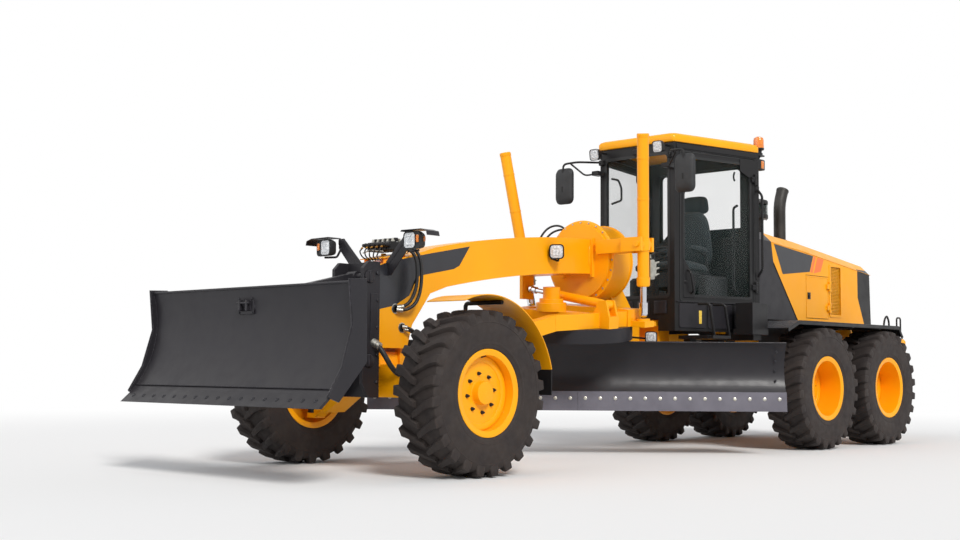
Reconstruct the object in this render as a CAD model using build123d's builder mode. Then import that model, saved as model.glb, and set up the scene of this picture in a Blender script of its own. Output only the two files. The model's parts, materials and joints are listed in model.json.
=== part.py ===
"""A motor grader: gooseneck front frame with dozer blade, circle-mounted moldboard, cab and tandem rear frame.

Lengths are millimetres and angles are degrees. +X is forward, +Y is the machine's left and +Z is up.
The origin is on the ground under the middle of the machine's box.
"""

import os
from math import asin, cos, degrees, hypot, radians, sin, sqrt

from build123d import *

# Running gear
front_axle_x = 3130
wheelbase = 6310
tandem_spacing = 1490
track = 2154
tyre_diameter = 1348
tyre_width = 445
rim_seat_radius = 318
rim_flange_radius = 355
rim_width = 400
front_disc_inset = 95
rear_disc_inset = -75
disc_thickness = 16
hub_z = tyre_diameter / 2
wheel_y = track / 2
tandem_x = front_axle_x - wheelbase

# Clearances
seat_gap = 0.3
pin_gap = 0.05
door_gap = 6

# Front axle, lean bracket and knuckle
axle_half_thickness = 110
lean_y = 700
lean_z = 560
kingpin_y = 890
kingpin_half_height = 215
kingpin_radius = 35
fender_radius = 795
fender_width = 430

# Gooseneck and saddle
neck_front_x = front_axle_x + 205
neck_bottom_z = 1040
neck_half_width = 170
drum_radius = 385
drum_z = 1970
drum_front_x = front_axle_x - 2740
drum_length = 400
pivot_x = front_axle_x - 3580
pivot_low_z = 850
pivot_high_z = 1380
pivot_pin_radius = 50

# Drawbar ball, in front of the drawbar
swing_x = front_axle_x - 250
ball_z = 950
lift_x = swing_x - 150

# Circle and moldboard, in the tilted plane of the circle
circle_x = front_axle_x - 2580
circle_z = 1185
circle_outer = 640
circle_inner = 530
circle_height = 140
tooth_count = 60
tooth_depth = 24
circle_tilt = 7
blade_angle = 46
blade_length = 4270
blade_shift = -100
blade_top_y = -69
blade_top_z = -40
blade_tip_y = 18
blade_tip_z = -738
edge_height = 190
edge_thickness = 18
blade_thickness = 20
tip_pivot_y = -330
tip_pivot_z = -585
arm_x = 600

# Lift cylinders
trunnion = (front_axle_x - 2770, 790, 2100)
lift_lean = (0.147, 0.1055, 0.985)
lift_barrel_radius = 58
lift_rod_radius = 32
lift_ball_radius = 45
lift_barrel_up = 1090
lift_barrel_down = 405
lift_ball_z = (1425, 1560)
lift_ball_gap = 8
trunnion_radius = 30
lift_travel = 650

# Circle side-shift cylinder
shift_x = circle_x + 120
shift_lug = (575, 1497)
shift_ball = (-395, 1685)
shift_barrel_length = 640
shift_barrel_radius = 45
shift_rod_radius = 25
shift_travel = 270

# Dozer blade
dozer_half_width = 1270
dozer_top_z = 1495
dozer_bottom_z = 577
dozer_bottom_x = front_axle_x + 1770
mast_x = neck_front_x + 120
mast_half_width = 200
link_low_z = 930
link_high_z = 1640
link_run = (1005, -230)

# Cab
cab_front_x = front_axle_x - 3740
cab_rear_x = front_axle_x - 4990
cab_front_half = 493
cab_rear_half = 765
cab_skirt_z = 1280
cab_floor_z = 1400
cab_sill_z = 1590
cab_head_z = 3210
cab_frame_z = 3290
cab_roof_z = 3390
cab_wall = 45
post = 70
glass = 8
door_thickness = 40
door_border = 60

# Rear frame and hood
rail_y = 380
rail_z = (800, 1080)
rail_rear_x = front_axle_x - 7770
rear_x = front_axle_x - 8050
case_y = (640, 840)
hood_front_x = cab_rear_x - 70
hood_half = 600
hood_bottom_z = 1450
hood_bevel = 110
panel_thickness = 30
hood_door_x = (-3730, -3180)
hood_door_z = (1490, 2010)
tow_x = -4830
tow_plate_z = (740, 800)
tow_bore_radius = 27
deck_z = 1410
deck_half = 1250

sides = (("left", 1), ("right", -1))


def block(x, y, z, mode=Mode.ADD):
    """Add a box between the low and high values of x, y and z."""
    with BuildSketch(Plane.XY.offset(z[0])) as base:
        with Locations(((x[0] + x[1]) / 2, (y[0] + y[1]) / 2)):
            Rectangle(x[1] - x[0], y[1] - y[0])
    extrude(base.sketch, amount=z[1] - z[0], mode=mode)


def side_plate(points, y, mode=Mode.ADD, radius=0):
    """Add an outline of (x, z) points between two values of y."""
    with BuildSketch(Plane.XZ.offset(-y[1])) as outline:
        with BuildLine():
            Polyline(*points, close=True)
        make_face()
        if radius:
            fillet(outline.vertices(), radius)
    extrude(outline.sketch, amount=y[1] - y[0], mode=mode)


def cross_plate(points, x, mode=Mode.ADD, radius=0):
    """Add an outline of (y, z) points between two values of x."""
    with BuildSketch(Plane.YZ.offset(x[0])) as outline:
        with BuildLine():
            Polyline(*points, close=True)
        make_face()
        if radius:
            fillet(outline.vertices(), radius)
    extrude(outline.sketch, amount=x[1] - x[0], mode=mode)


def flat_plate(points, z, mode=Mode.ADD, radius=0):
    """Add an outline of (x, y) points between two values of z."""
    with BuildSketch(Plane.XY.offset(z[0])) as outline:
        with BuildLine():
            Polyline(*points, close=True)
        make_face()
        if radius:
            fillet(outline.vertices(), radius)
    extrude(outline.sketch, amount=z[1] - z[0], mode=mode)


def rod(start, end, radius, mode=Mode.ADD):
    """Add a round bar between two points."""
    line = Vector(*end) - Vector(*start)
    with BuildSketch(Plane(origin=start, z_dir=line)) as section:
        Circle(radius)
    extrude(section.sketch, amount=line.length, mode=mode)


def beam(start, end, width, height, mode=Mode.ADD):
    """Add a box section between two points, its width level and its height upright."""
    line = Vector(*end) - Vector(*start)
    across = Vector(0, 0, 1).cross(line)
    with BuildSketch(Plane(origin=start, x_dir=across, z_dir=line)) as section:
        Rectangle(width, height)
    extrude(section.sketch, amount=line.length, mode=mode)


def tube(points, bend, radius, mode=Mode.ADD):
    """Add a round bar along points, with one bend radius at every corner."""
    with BuildLine() as path:
        FilletPolyline(*points, radius=bend)
    with BuildSketch(Plane(origin=path.line @ 0, z_dir=path.line % 0)) as section:
        Circle(radius)
    sweep(section.sketch, path=path.line, mode=mode)


def turned(points, centre, side, mode=Mode.ADD):
    """Turn an outline of (outward offset, radius) points about a wheel's axle."""
    hub = Plane(origin=centre, x_dir=(0, side, 0), z_dir=(side, 0, 0))
    with BuildSketch(hub) as outline:
        with BuildLine():
            Polyline(*points, close=True)
        make_face()
    revolve(outline.sketch, axis=Axis(centre, (0, 1, 0)), mode=mode)


def keep(node, label, frame=None):
    """Name a piece, set it down in its frame and write it."""
    part = node.part
    if frame is not None:
        part = part.moved(frame.location)
    part.label = label
    export_step(part, f"parts/{label}.step")


os.makedirs("parts", exist_ok=True)

# The circle's plane falls towards the blade's front, and carries the drawbar, circle and moldboard
lean, turn = radians(circle_tilt), radians(blade_angle)
blade_line = (cos(turn), -sin(turn), 0)
circle_axis = Vector(sin(lean) * sin(turn), sin(lean) * cos(turn), cos(lean))
circle_centre = (circle_x, 0, circle_z)
circle_plane = Plane(origin=circle_centre, x_dir=(circle_axis.Z, 0, -circle_axis.X), z_dir=circle_axis)
blade_plane = Plane(origin=circle_centre, x_dir=blade_line, z_dir=circle_axis)
lift_axis = circle_plane.y_dir


def in_circle(x, y, z):
    """Turn a point of the machine into the drawbar's own tilted frame."""
    point = circle_plane.to_local_coords(Vector(x, y, z))
    return (point.X, point.Y, point.Z)


# Wheels

wheels = [  # name, x, side, disc inset
    (f"{row}_{name}", x, side, inset)
    for row, x, inset in (
        ("front", front_axle_x, front_disc_inset),
        ("tandem", tandem_x + tandem_spacing / 2, rear_disc_inset),
        ("rear", tandem_x - tandem_spacing / 2, rear_disc_inset),
    )
    for name, side in sides
]
half_tyre = tyre_width / 2
half_rim = rim_width / 2
flange = 13
bead = half_rim - flange - seat_gap

# Tyre: a carcass with as many flats as lugs, so that each lug in the two slanted rows stands on its own flat
lug_count = 12
lug_root = 600
lug_reach = 72
lug_plan = [(-lug_reach, -12), (6, -12), (lug_reach, half_tyre), (-6, half_tyre)]  # round the tyre, along the axle
lug_tip = sqrt((tyre_diameter / 2) ** 2 - lug_reach**2)
lug_turn = degrees(asin(lug_reach / (tyre_diameter / 2)))
hub_plane = Plane(origin=(0, 0, 0), x_dir=(1, 0, 0), z_dir=(0, 1, 0))
with BuildPart() as left_tyre:
    stations = []
    for along, radius in (
        (4 - half_tyre, 575),
        (52 - half_tyre, 642),
        (half_tyre - 52, 642),
        (half_tyre - 4, 575),
    ):
        with BuildSketch(hub_plane.offset(along)) as station:
            RegularPolygon(radius, 2 * lug_count, rotation=90 / lug_count - lug_turn)
        stations.append(station.sketch)
    loft(stations, ruled=True)
    for row in (0, 1):
        way = 1 - 2 * row
        for step in range(lug_count):
            around = (2 * step + row) * 180 / lug_count - lug_turn
            foot_plane = Plane.XY.rotated((0, around, 0)).offset(lug_root)
            with BuildSketch(foot_plane) as foot:
                with BuildLine():
                    Polyline(*[(x, way * y) for x, y in lug_plan], close=True)
                make_face()
            extrude(foot.sketch, amount=lug_tip - lug_root)
    for low, high, radius in (
        (-half_tyre, half_tyre, rim_seat_radius + seat_gap),
        (bead, half_tyre, rim_flange_radius + seat_gap),
        (-half_tyre, -bead, rim_flange_radius + seat_gap),
    ):
        rod((0, low, 0), (0, high, 0), radius, mode=Mode.SUBTRACT)
tyres = {1: left_tyre.part, -1: mirror(left_tyre.part, about=Plane.XZ)}

for name, x, side, inset in wheels:
    centre = (x, side * wheel_y, hub_z)
    tyre = tyres[side].moved(Location(centre))
    tyre.label = f"tyre_{name}"
    export_step(tyre, f"parts/tyre_{name}.step")

    barrel = [
        (half_rim, rim_flange_radius),
        (half_rim - flange, rim_flange_radius),
        (half_rim - flange, rim_seat_radius),
    ]
    inside = [(half_rim - 10, rim_seat_radius - 14), (half_rim, rim_flange_radius - 14)]
    with BuildPart() as rim:
        turned(
            barrel + [(-w, r) for w, r in reversed(barrel)] + [(-w, r) for w, r in reversed(inside)] + inside,
            centre,
            side,
        )
        disc = [
            (inset - disc_thickness / 2, 0),
            (inset - disc_thickness / 2, rim_seat_radius - 10),
            (inset + disc_thickness / 2, rim_seat_radius - 10),
            (inset + disc_thickness / 2, 100),
            (inset + 70, 90),
            (inset + 75, 0),
        ]
        turned(disc, centre, side)
    keep(rim, f"rim_{name}")

# Front axle, with a lean bracket, knuckle and fender on each side

beam_half = [(0, 620), (350, 620), (590, 470), (620, 470), (620, 650), (560, 720), (250, 900), (0, 900)]
with BuildPart() as front_axle:
    cross_plate(
        beam_half[1:-1] + [(-y, z) for y, z in reversed(beam_half[1:-1])],
        (front_axle_x - axle_half_thickness, front_axle_x + axle_half_thickness),
    )
    tongue = axle_half_thickness - 40
    for name, side in sides:
        ear = [(590, 485), (lean_y, 485), (lean_y, 635), (590, 635)]
        for x in ((-axle_half_thickness, -tongue), (tongue, axle_half_thickness)):
            cross_plate([(side * y, z) for y, z in ear], (front_axle_x + x[0], front_axle_x + x[1]))
            rod((front_axle_x + x[0], side * lean_y, lean_z), (front_axle_x + x[1], side * lean_y, lean_z), 75)
        rod(
            (front_axle_x - axle_half_thickness, side * lean_y, lean_z),
            (front_axle_x + axle_half_thickness, side * lean_y, lean_z),
            kingpin_radius,
        )
        # The fork's outer corners are cut off square to the tyre at full lock
        for way in (1, -1):
            corner = [(way * 115, side * 710), (way * 115, side * 800), (way * 25, side * 800)]
            flat_plate([(front_axle_x + x, y) for x, y in corner], (400, 700), Mode.SUBTRACT)
    cross_plate([(-110, 880), (110, 880), (90, 1010), (-90, 1010)], (front_axle_x - 110, front_axle_x + 110))
    rod((front_axle_x - 180, 0, 960), (front_axle_x + 190, 0, 960), 45)
keep(front_axle, "front_axle")

for name, side in sides:
    low, high = hub_z - kingpin_half_height, hub_z + kingpin_half_height
    with BuildPart() as bracket:
        rod(
            (front_axle_x - tongue + seat_gap, side * lean_y, lean_z),
            (front_axle_x + tongue - seat_gap, side * lean_y, lean_z),
            70,
        )
        plate = [(lean_y, 495), (815, low - 45), (815, high + 45), (755, high + 45), (755, 640), (lean_y, 625)]
        cross_plate([(side * y, z) for y, z in plate], (front_axle_x - 60, front_axle_x + 60))
        for z in ((low - 45, low), (high, high + 45)):
            block(
                (front_axle_x - 60, front_axle_x + 60),
                sorted((side * 800, side * kingpin_y)),
                z,
            )
            rod((front_axle_x, side * kingpin_y, z[0]), (front_axle_x, side * kingpin_y, z[1]), 60)
        rod((front_axle_x, side * kingpin_y, low), (front_axle_x, side * kingpin_y, high), kingpin_radius)
        rod(
            (front_axle_x - 200, side * lean_y, lean_z),
            (front_axle_x + 200, side * lean_y, lean_z),
            kingpin_radius + pin_gap,
            mode=Mode.SUBTRACT,
        )
    keep(bracket, f"lean_bracket_{name}")

    hub_face = wheel_y + front_disc_inset - disc_thickness / 2 - seat_gap
    post_x, post_y = front_axle_x - 230, 812
    tube_rise = sqrt((fender_radius - 8 - 18 - seat_gap) ** 2 - 210**2)
    with BuildPart() as knuckle:
        rod((front_axle_x, side * kingpin_y, low + seat_gap), (front_axle_x, side * kingpin_y, high - seat_gap), 55)
        rod((front_axle_x, side * kingpin_y, hub_z), (front_axle_x, side * hub_face, hub_z), 60)
        rod((front_axle_x, side * (hub_face - 60), hub_z), (front_axle_x, side * hub_face, hub_z), 130)
        block((post_x, front_axle_x), sorted((side * 885, side * 950)), (hub_z - 30, hub_z + 30))
        rod(
            (front_axle_x, side * kingpin_y, 0),
            (front_axle_x, side * kingpin_y, 2000),
            kingpin_radius + pin_gap,
            mode=Mode.SUBTRACT,
        )
        tube(
            [
                (post_x + 20, side * 910, hub_z),
                (post_x + 20, side * post_y, hub_z + 60),
                (post_x + 20, side * post_y, hub_z + tube_rise),
                (post_x + 20, side * (wheel_y + 150), hub_z + tube_rise),
            ],
            30,
            18,
        )
        flap_x = front_axle_x - 770
        flap_top = hub_z + (fender_radius - 8) * sin(radians(166)) - seat_gap
        block((flap_x, flap_x + 8), sorted((side * (wheel_y - 215), side * (wheel_y + 215))), (650, flap_top))
        block((flap_x, flap_x + 8), sorted((side * 800, side * 870)), (hub_z, hub_z + 60))
        beam((flap_x + 4, side * 830, hub_z + 30), (post_x + 20, side * 830, hub_z + 30), 30, 40)
    keep(knuckle, f"knuckle_{name}")

    with BuildPart() as fender:
        fender_start, fender_end = 68, 166
        hub = Plane(origin=(front_axle_x, side * wheel_y, hub_z), x_dir=(1, 0, 0), z_dir=(0, -1, 0))
        with BuildSketch(hub.offset(-fender_width / 2)) as band:
            with BuildLine():
                outer = CenterArc((0, 0), fender_radius, fender_start, fender_end - fender_start)
                inner = CenterArc((0, 0), fender_radius - 8, fender_start, fender_end - fender_start)
                Line(outer @ 0, inner @ 0)
                Line(outer @ 1, inner @ 1)
            make_face()
        extrude(band.sketch, amount=fender_width)
    keep(fender, f"front_fender_{name}")

# Gooseneck

neck_low_x = front_axle_x - 150
neck_end_x = drum_front_x + seat_gap
with BuildPart() as gooseneck:
    with BuildSketch(Plane.XZ.offset(-neck_half_width)) as profile:
        with BuildLine():
            top = ThreePointArc(
                (front_axle_x - 500, 1947), (front_axle_x - 1520, 2108), (neck_end_x, 2185)
            )
            bottom = ThreePointArc(
                (neck_end_x, 1835), (front_axle_x - 1520, 1742), (front_axle_x - 640, 1600)
            )
            Polyline(
                bottom @ 1,
                (front_axle_x - 430, 1530),
                (front_axle_x - 210, 1247),
                (neck_low_x, neck_bottom_z),
                (neck_front_x, neck_bottom_z),
                (neck_front_x, 1735),
                top @ 0,
            )
            Line(top @ 1, bottom @ 0)
        make_face()
        fillet(profile.vertices().sort_by(Axis.X)[2:4], 60)
    extrude(profile.sketch, amount=2 * neck_half_width)
    # Plates that carry the axle pin
    for x in ((-182, -115), (115, 182)):
        block(
            (front_axle_x + x[0], front_axle_x + x[1]),
            (-120, 120),
            (880, neck_bottom_z),
        )
    # Ears and pin that the drawbar's swivel turns on
    for z in ((ball_z - 110, ball_z - 70), (ball_z + 70, ball_z + 110)):
        block((swing_x, front_axle_x - 160), (-70, 70), z)
        rod((swing_x, 0, z[0]), (swing_x, 0, z[1]), 70)
    block((front_axle_x - 182, front_axle_x - 116), (-70, 70), (ball_z - 110, neck_bottom_z + 40))
    rod((front_axle_x - 183, 0, 960), (front_axle_x + 200, 0, 960), 45 + pin_gap, mode=Mode.SUBTRACT)
    rod((swing_x, 0, ball_z - 110), (swing_x, 0, ball_z + 110), kingpin_radius)
    # Bar beside the beam, with the seat that the side-shift rod's ball presses on
    seat_y = shift_ball[0] - lift_ball_radius - 2.5
    block((shift_x - 90, shift_x + 85), (seat_y - 40, 0), (1822, 1900))
    block((shift_x - 90, shift_x + 85), (seat_y - 40, seat_y), (1585, 1900))
keep(gooseneck, "gooseneck")

# Saddle drum, its arms, and the rear leg down to the frame's hinge

leg_half = 150
barrel_low, barrel_high = pivot_low_z + 50, pivot_high_z - 50
with BuildPart() as saddle:
    rod((drum_front_x - drum_length, 0, drum_z), (drum_front_x, 0, drum_z), drum_radius)
    for name, side in sides:
        cheek = sorted((side * (neck_half_width + seat_gap), side * (neck_half_width + 30)))
        block((drum_front_x - 60, drum_front_x + 30), cheek, (1800, 2200))
    side_plate(
        [
            (drum_front_x - drum_length - 20, 2200),
            (drum_front_x - drum_length - 20, 1850),
            (pivot_x + 140, 1500),
            (pivot_x + 140, barrel_high),
            (pivot_x, barrel_high),
            (pivot_x, barrel_low),
            (pivot_x + 205, barrel_low),
            (pivot_x + 205, 1290),
            (pivot_x + 300, 1420),
            (140, 1700),
            (drum_front_x - 20, 1700),
            (drum_front_x - 20, 2200),
        ],
        (-leg_half, leg_half),
    )
    for name, side in sides:
        x, y, z = trunnion
        fork = y - lift_barrel_radius - 140
        block((x - 70, x + 70), sorted((side * 250, side * fork)), (z - 70, z + 70))
        block((x - 110, x + 110), sorted((side * fork, side * (fork + 40))), (z - 70, z + 70))
        for dx in (-110, 75):
            block((x + dx, x + dx + 35), sorted((side * fork, side * (y + 50))), (z - 70, z + 70))
        rod((x - 120, side * y, z), (x + 120, side * y, z), trunnion_radius + pin_gap, mode=Mode.SUBTRACT)
    for name, side in sides:
        corner = [(pivot_x + 90, 160), (pivot_x + 206, 160), (pivot_x + 206, 50)]
        flat_plate([(x, side * y) for x, y in corner], (barrel_low - 10, 1200), mode=Mode.SUBTRACT)
    rod((pivot_x, 0, barrel_low), (pivot_x, 0, barrel_high), 120)
    rod((pivot_x, 0, pivot_low_z - 10), (pivot_x, 0, pivot_high_z + 10), pivot_pin_radius)
keep(saddle, "lift_saddle")

# Drawbar swivel: turns sideways on the gooseneck's pin and carries the drawbar's lift pin

pivot = Vector(lift_x, 0, ball_z)


def along_lift(distance):
    """A point on the drawbar's lift pin, a distance to the left of its middle."""
    point = pivot + lift_axis * distance
    return (point.X, point.Y, point.Z)


with BuildPart() as yoke:
    rod((swing_x, 0, ball_z - 70 + seat_gap), (swing_x, 0, ball_z + 70 - seat_gap), 55)
    block((lift_x, swing_x), (-45, 45), (ball_z - 50, ball_z + 50))
    rod(along_lift(-50), along_lift(50), 58)
    rod(along_lift(-100), along_lift(100), 30)
    rod((swing_x, 0, 0), (swing_x, 0, 2000), kingpin_radius + pin_gap, mode=Mode.SUBTRACT)
keep(yoke, "drawbar_swivel")

# Drawbar, in the circle's plane

front = in_circle(lift_x, 0, ball_z)
drawbar_low = circle_height + seat_gap
lift_balls = []
for (name, side), ball_height in zip(sides, lift_ball_z):
    x, y, z = trunnion
    drop = (z - ball_height) / lift_lean[2]
    lift_balls.append((x - drop * lift_lean[0], side * (y - drop * lift_lean[1]), ball_height))

with BuildPart() as drawbar:
    block((-400, -190), (-600, 600), (drawbar_low, drawbar_low + 170))
    block((180, 330), (-480, 480), (drawbar_low, drawbar_low + 150))
    for name, side in sides:
        elbow = (690, side * 360, drawbar_low + 76)
        beam((-380, side * 560, drawbar_low + 76), (elbow[0] + 14, elbow[1], elbow[2]), 110, 150)
        beam(elbow, (front[0] - 180, front[1] + side * 112, front[2]), 110, 150)
        cheek = sorted((front[1] + side * (50 + seat_gap), front[1] + side * 95))
        block((front[0] - 260, front[0]), cheek, (front[2] - 60, front[2] + 60))
        rod((front[0], cheek[0], front[2]), (front[0], cheek[1], front[2]), 60)
    block((front[0] - 420, front[0] - 160), (-150, 150), (front[2] - 60, front[2] + 75))
    rod((front[0], -200, front[2]), (front[0], 200, front[2]), 30 + pin_gap, mode=Mode.SUBTRACT)
    # Gearbox and motor that turn the circle
    for radius, low, high in ((150, 148, 230), (120, 228, 270), (85, 268, 385)):
        rod((280, 0, drawbar_low + low), (280, 0, drawbar_low + high), radius)
    for ball in lift_balls:
        x, y, z = in_circle(*ball)
        pad_top = z - lift_ball_radius - lift_ball_gap
        reach = sorted((590 if y > 0 else -590, y + (75 if y > 0 else -75)))
        block((x - 80, x + 80), reach, (drawbar_low, pad_top - 20))
        rod((x, y, pad_top - 21), (x, y, pad_top), 65)
    x, y, z = in_circle(shift_x, *shift_lug)
    for dx in (-75, 50 - seat_gap):
        side_lug = [(y - 130, drawbar_low + 100), (y + 90, drawbar_low + 100), (y + 45, z + 45), (y - 45, z + 45)]
        cross_plate(side_lug, (x + dx, x + dx + 25))
    block((x - 75, x + 75), (y - 130, y + 90), (drawbar_low, drawbar_low + 120))
    rod((x - 75, y, z), (x + 75, y, z), 22)
keep(drawbar, "drawbar", circle_plane)

# Circle with the arms that carry the moldboard, in the blade's plane

with BuildPart() as circle:
    with BuildSketch(Plane.XY) as ring:
        Circle(circle_outer)
        Circle(circle_inner, mode=Mode.SUBTRACT)
    extrude(ring.sketch, amount=circle_height)
    with BuildSketch(Plane.XY.offset(30)) as teeth:
        with PolarLocations(circle_inner - tooth_depth / 2 + 2, tooth_count):
            Trapezoid(tooth_depth + 8, 26, 72, rotation=90)
    extrude(teeth.sketch, amount=circle_height - 60)
    for side in (1, -1):
        arm = [
            (-450, 20),
            (-190, 20),
            (-190, -8),
            (-310, -110),
            (-310, -450),
            (-280, tip_pivot_z),
            (tip_pivot_y, tip_pivot_z - 55),
            (-385, tip_pivot_z),
            (-440, -200),
        ]
        low = side * arm_x - 20
        cross_plate(arm, (low, low + 40))
        rod((low - 20, tip_pivot_y, tip_pivot_z), (low + 60, tip_pivot_y, tip_pivot_z), 28)
    rod((-arm_x, -400, -50), (arm_x, -400, -50), 60)
keep(circle, "blade_circle", blade_plane)

edge_top = (blade_tip_y - 68, blade_tip_z + edge_height)
edge_lean = (blade_tip_y - edge_thickness - edge_top[0]) / edge_height
rail_z_pair = ((-215, -175), (-475, -435))
rail_back = -230
with BuildPart() as carrier:
    hook = [
        (-300, -150),
        (-180, -150),
        (-180, rail_z_pair[0][1] + 0.5),
        (rail_back - 1, rail_z_pair[0][1] + 0.5),
        (rail_back - 1, rail_z_pair[1][0] - 0.5),
        (-180, rail_z_pair[1][0] - 0.5),
        (-180, -505),
        (-300, -505),
    ]
    for x in (-450, -30, 390):
        cross_plate(hook, (x, x + 60))
    block((-540, 540), (-300, -240), (-400, -300))
    for side in (1, -1):
        inner = sorted((side * 535, side * (arm_x - 20 - seat_gap)))
        cross_plate(
            [(-300, -300), (-240, -300), (-262, tip_pivot_z), (tip_pivot_y, tip_pivot_z - 60), (-400, tip_pivot_z)],
            inner,
        )
    rod((-arm_x - 80, tip_pivot_y, tip_pivot_z), (arm_x + 80, tip_pivot_y, tip_pivot_z), 28.05, mode=Mode.SUBTRACT)
keep(carrier, "blade_carrier", blade_plane)

blade_from = blade_shift - blade_length / 2
blade_to = blade_shift + blade_length / 2
belly = (-150, -310)
with BuildPart() as moldboard:
    with BuildSketch(Plane.YZ.offset(blade_from)) as section:
        with BuildLine():
            low_front = (edge_top[0] + 120 * edge_lean, edge_top[1] - 120)
            face = ThreePointArc(edge_top, belly, (blade_top_y, blade_top_z))
            Line(low_front, edge_top)
            Line(low_front, (low_front[0] - blade_thickness, low_front[1]))
            Line((low_front[0] - blade_thickness, low_front[1]), (edge_top[0] - blade_thickness, edge_top[1]))
            ThreePointArc(
                (edge_top[0] - blade_thickness, edge_top[1]),
                (belly[0] - blade_thickness, belly[1]),
                (blade_top_y - blade_thickness, blade_top_z),
            )
            Line((blade_top_y - blade_thickness, blade_top_z), (blade_top_y, blade_top_z))
        make_face()
    extrude(section.sketch, amount=blade_length)
    block((blade_shift - 1000, blade_shift + 1000), (rail_back, -148), rail_z_pair[0])
    block((blade_shift - 1000, blade_shift + 1000), (rail_back, -125), rail_z_pair[1])
keep(moldboard, "moldboard", blade_plane)

with BuildPart() as edge:
    tip = (blade_tip_y, blade_tip_z)
    cross_plate(
        [
            tip,
            (edge_top[0] + edge_thickness, edge_top[1]),
            (edge_top[0] + seat_gap, edge_top[1]),
            (tip[0] - edge_thickness + seat_gap, tip[1]),
        ],
        (blade_from, blade_to),
    )
keep(edge, "cutting_edge", blade_plane)

# Lift cylinders

for (name, side), ball in zip(sides, lift_balls):
    x, y, z = trunnion
    lean_x, lean_y_part, lean_up = lift_lean

    def on_cylinder(distance):
        """A point on this cylinder's line, a distance above its trunnion."""
        return (x + distance * lean_x, side * (y + distance * lean_y_part), z + distance * lean_up)

    reach = (z - ball[2]) / lean_up
    with BuildPart() as barrel_part:
        rod(on_cylinder(-lift_barrel_down), on_cylinder(lift_barrel_up), lift_barrel_radius)
        rod(on_cylinder(-lift_barrel_down), on_cylinder(-lift_barrel_down + 80), lift_barrel_radius + 8)
        rod((x - 74, side * y, z), (x + 74, side * y, z), 50)
        rod((x - 125, side * y, z), (x + 125, side * y, z), trunnion_radius)
        rod(
            on_cylinder(-lift_barrel_down - 10),
            on_cylinder(lift_barrel_up - 60),
            lift_rod_radius + pin_gap,
            mode=Mode.SUBTRACT,
        )
    keep(barrel_part, f"lift_barrel_{name}")
    with BuildPart() as rod_part:
        rod(on_cylinder(-reach), on_cylinder(lift_travel - reach + 300), lift_rod_radius)
        rod(on_cylinder(-reach), on_cylinder(-reach + 110), lift_rod_radius + 12)
        with Locations(ball):
            Sphere(lift_ball_radius)
    keep(rod_part, f"lift_rod_{name}")

# Side-shift cylinder: its barrel is pinned to the drawbar and its rod's ball is under the gooseneck's bar

lug = Vector(shift_x, *shift_lug)
shift_line = (Vector(shift_x, *shift_ball) - lug).normalized()
shift_reach = (Vector(shift_x, *shift_ball) - lug).length


def on_shift(distance):
    """A point on the side-shift cylinder's line, a distance from its lug pin."""
    point = lug + shift_line * distance
    return (point.X, point.Y, point.Z)


def on_lug_pin(distance):
    """A point on the lug's pin, a distance forwards from its middle."""
    point = lug + circle_plane.x_dir * distance
    return (point.X, point.Y, point.Z)


with BuildPart() as shift_barrel:
    rod(on_shift(55), on_shift(shift_barrel_length), shift_barrel_radius)
    rod(on_lug_pin(-49), on_lug_pin(49), 45)
    rod(on_shift(20), on_shift(60), 38)
    rod(on_lug_pin(-60), on_lug_pin(60), 22 + pin_gap, mode=Mode.SUBTRACT)
    rod(on_shift(60), on_shift(shift_barrel_length + 10), shift_rod_radius + pin_gap, mode=Mode.SUBTRACT)
keep(shift_barrel, "shift_barrel")
with BuildPart() as shift_rod:
    rod(on_shift(shift_travel + 70), on_shift(shift_reach), shift_rod_radius)
    rod(on_shift(shift_reach - 70), on_shift(shift_reach), shift_rod_radius + 10)
    with Locations((shift_x, *shift_ball)):
        Sphere(lift_ball_radius)
keep(shift_rod, "shift_rod")

# Dozer blade on its mast, with arms below and a link above that keep it upright

mast_low, mast_high = 620, 1770
run_x, run_z = link_run
low_pin, high_pin = (mast_x, link_low_z), (mast_x, link_high_z)
low_eye, high_eye = (mast_x + run_x, link_low_z + run_z), (mast_x + run_x, link_high_z + run_z)
with BuildPart() as mast:
    block((neck_front_x + seat_gap, neck_front_x + 40), (-mast_half_width, mast_half_width), (mast_low, mast_high))
    for name, side in sides:
        cheek = sorted((side * (mast_half_width - 35), side * mast_half_width))
        side_plate(
            [
                (neck_front_x + 20, mast_low),
                (neck_front_x + 120, mast_low),
                (neck_front_x + 190, mast_low + 120),
                (neck_front_x + 190, mast_high - 60),
                (neck_front_x + 130, mast_high),
                (neck_front_x + 20, mast_high),
            ],
            cheek,
        )
    for x, z in (low_pin, high_pin):
        rod((x, -mast_half_width, z), (x, mast_half_width, z), 30)
keep(mast, "dozer_mount")

with BuildPart() as arms:
    for name, side in sides:
        width = sorted((side * 105, side * 160))
        beam(
            (low_pin[0] + 30, side * 132.5, low_pin[1] - 7),
            (low_eye[0] - 30, side * 132.5, low_eye[1] + 7),
            55,
            110,
        )
        for x, z in (low_pin, low_eye):
            rod((x, width[0], z), (x, width[1], z), 60)
            rod((x, -300, z), (x, 300, z), 30 + pin_gap, mode=Mode.SUBTRACT)
    middle = ((low_pin[0] + low_eye[0]) / 2, (low_pin[1] + low_eye[1]) / 2)
    rod((middle[0], -106, middle[1]), (middle[0], 106, middle[1]), 45)
keep(arms, "dozer_arms")

with BuildPart() as link:
    beam((high_pin[0] + 30, 0, high_pin[1] - 7), (high_eye[0] - 30, 0, high_eye[1] + 7), 80, 80)
    for x, z in (high_pin, high_eye):
        rod((x, -55, z), (x, 55, z), 50)
        rod((x, -300, z), (x, 300, z), 30 + pin_gap, mode=Mode.SUBTRACT)
keep(link, "dozer_link")

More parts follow.
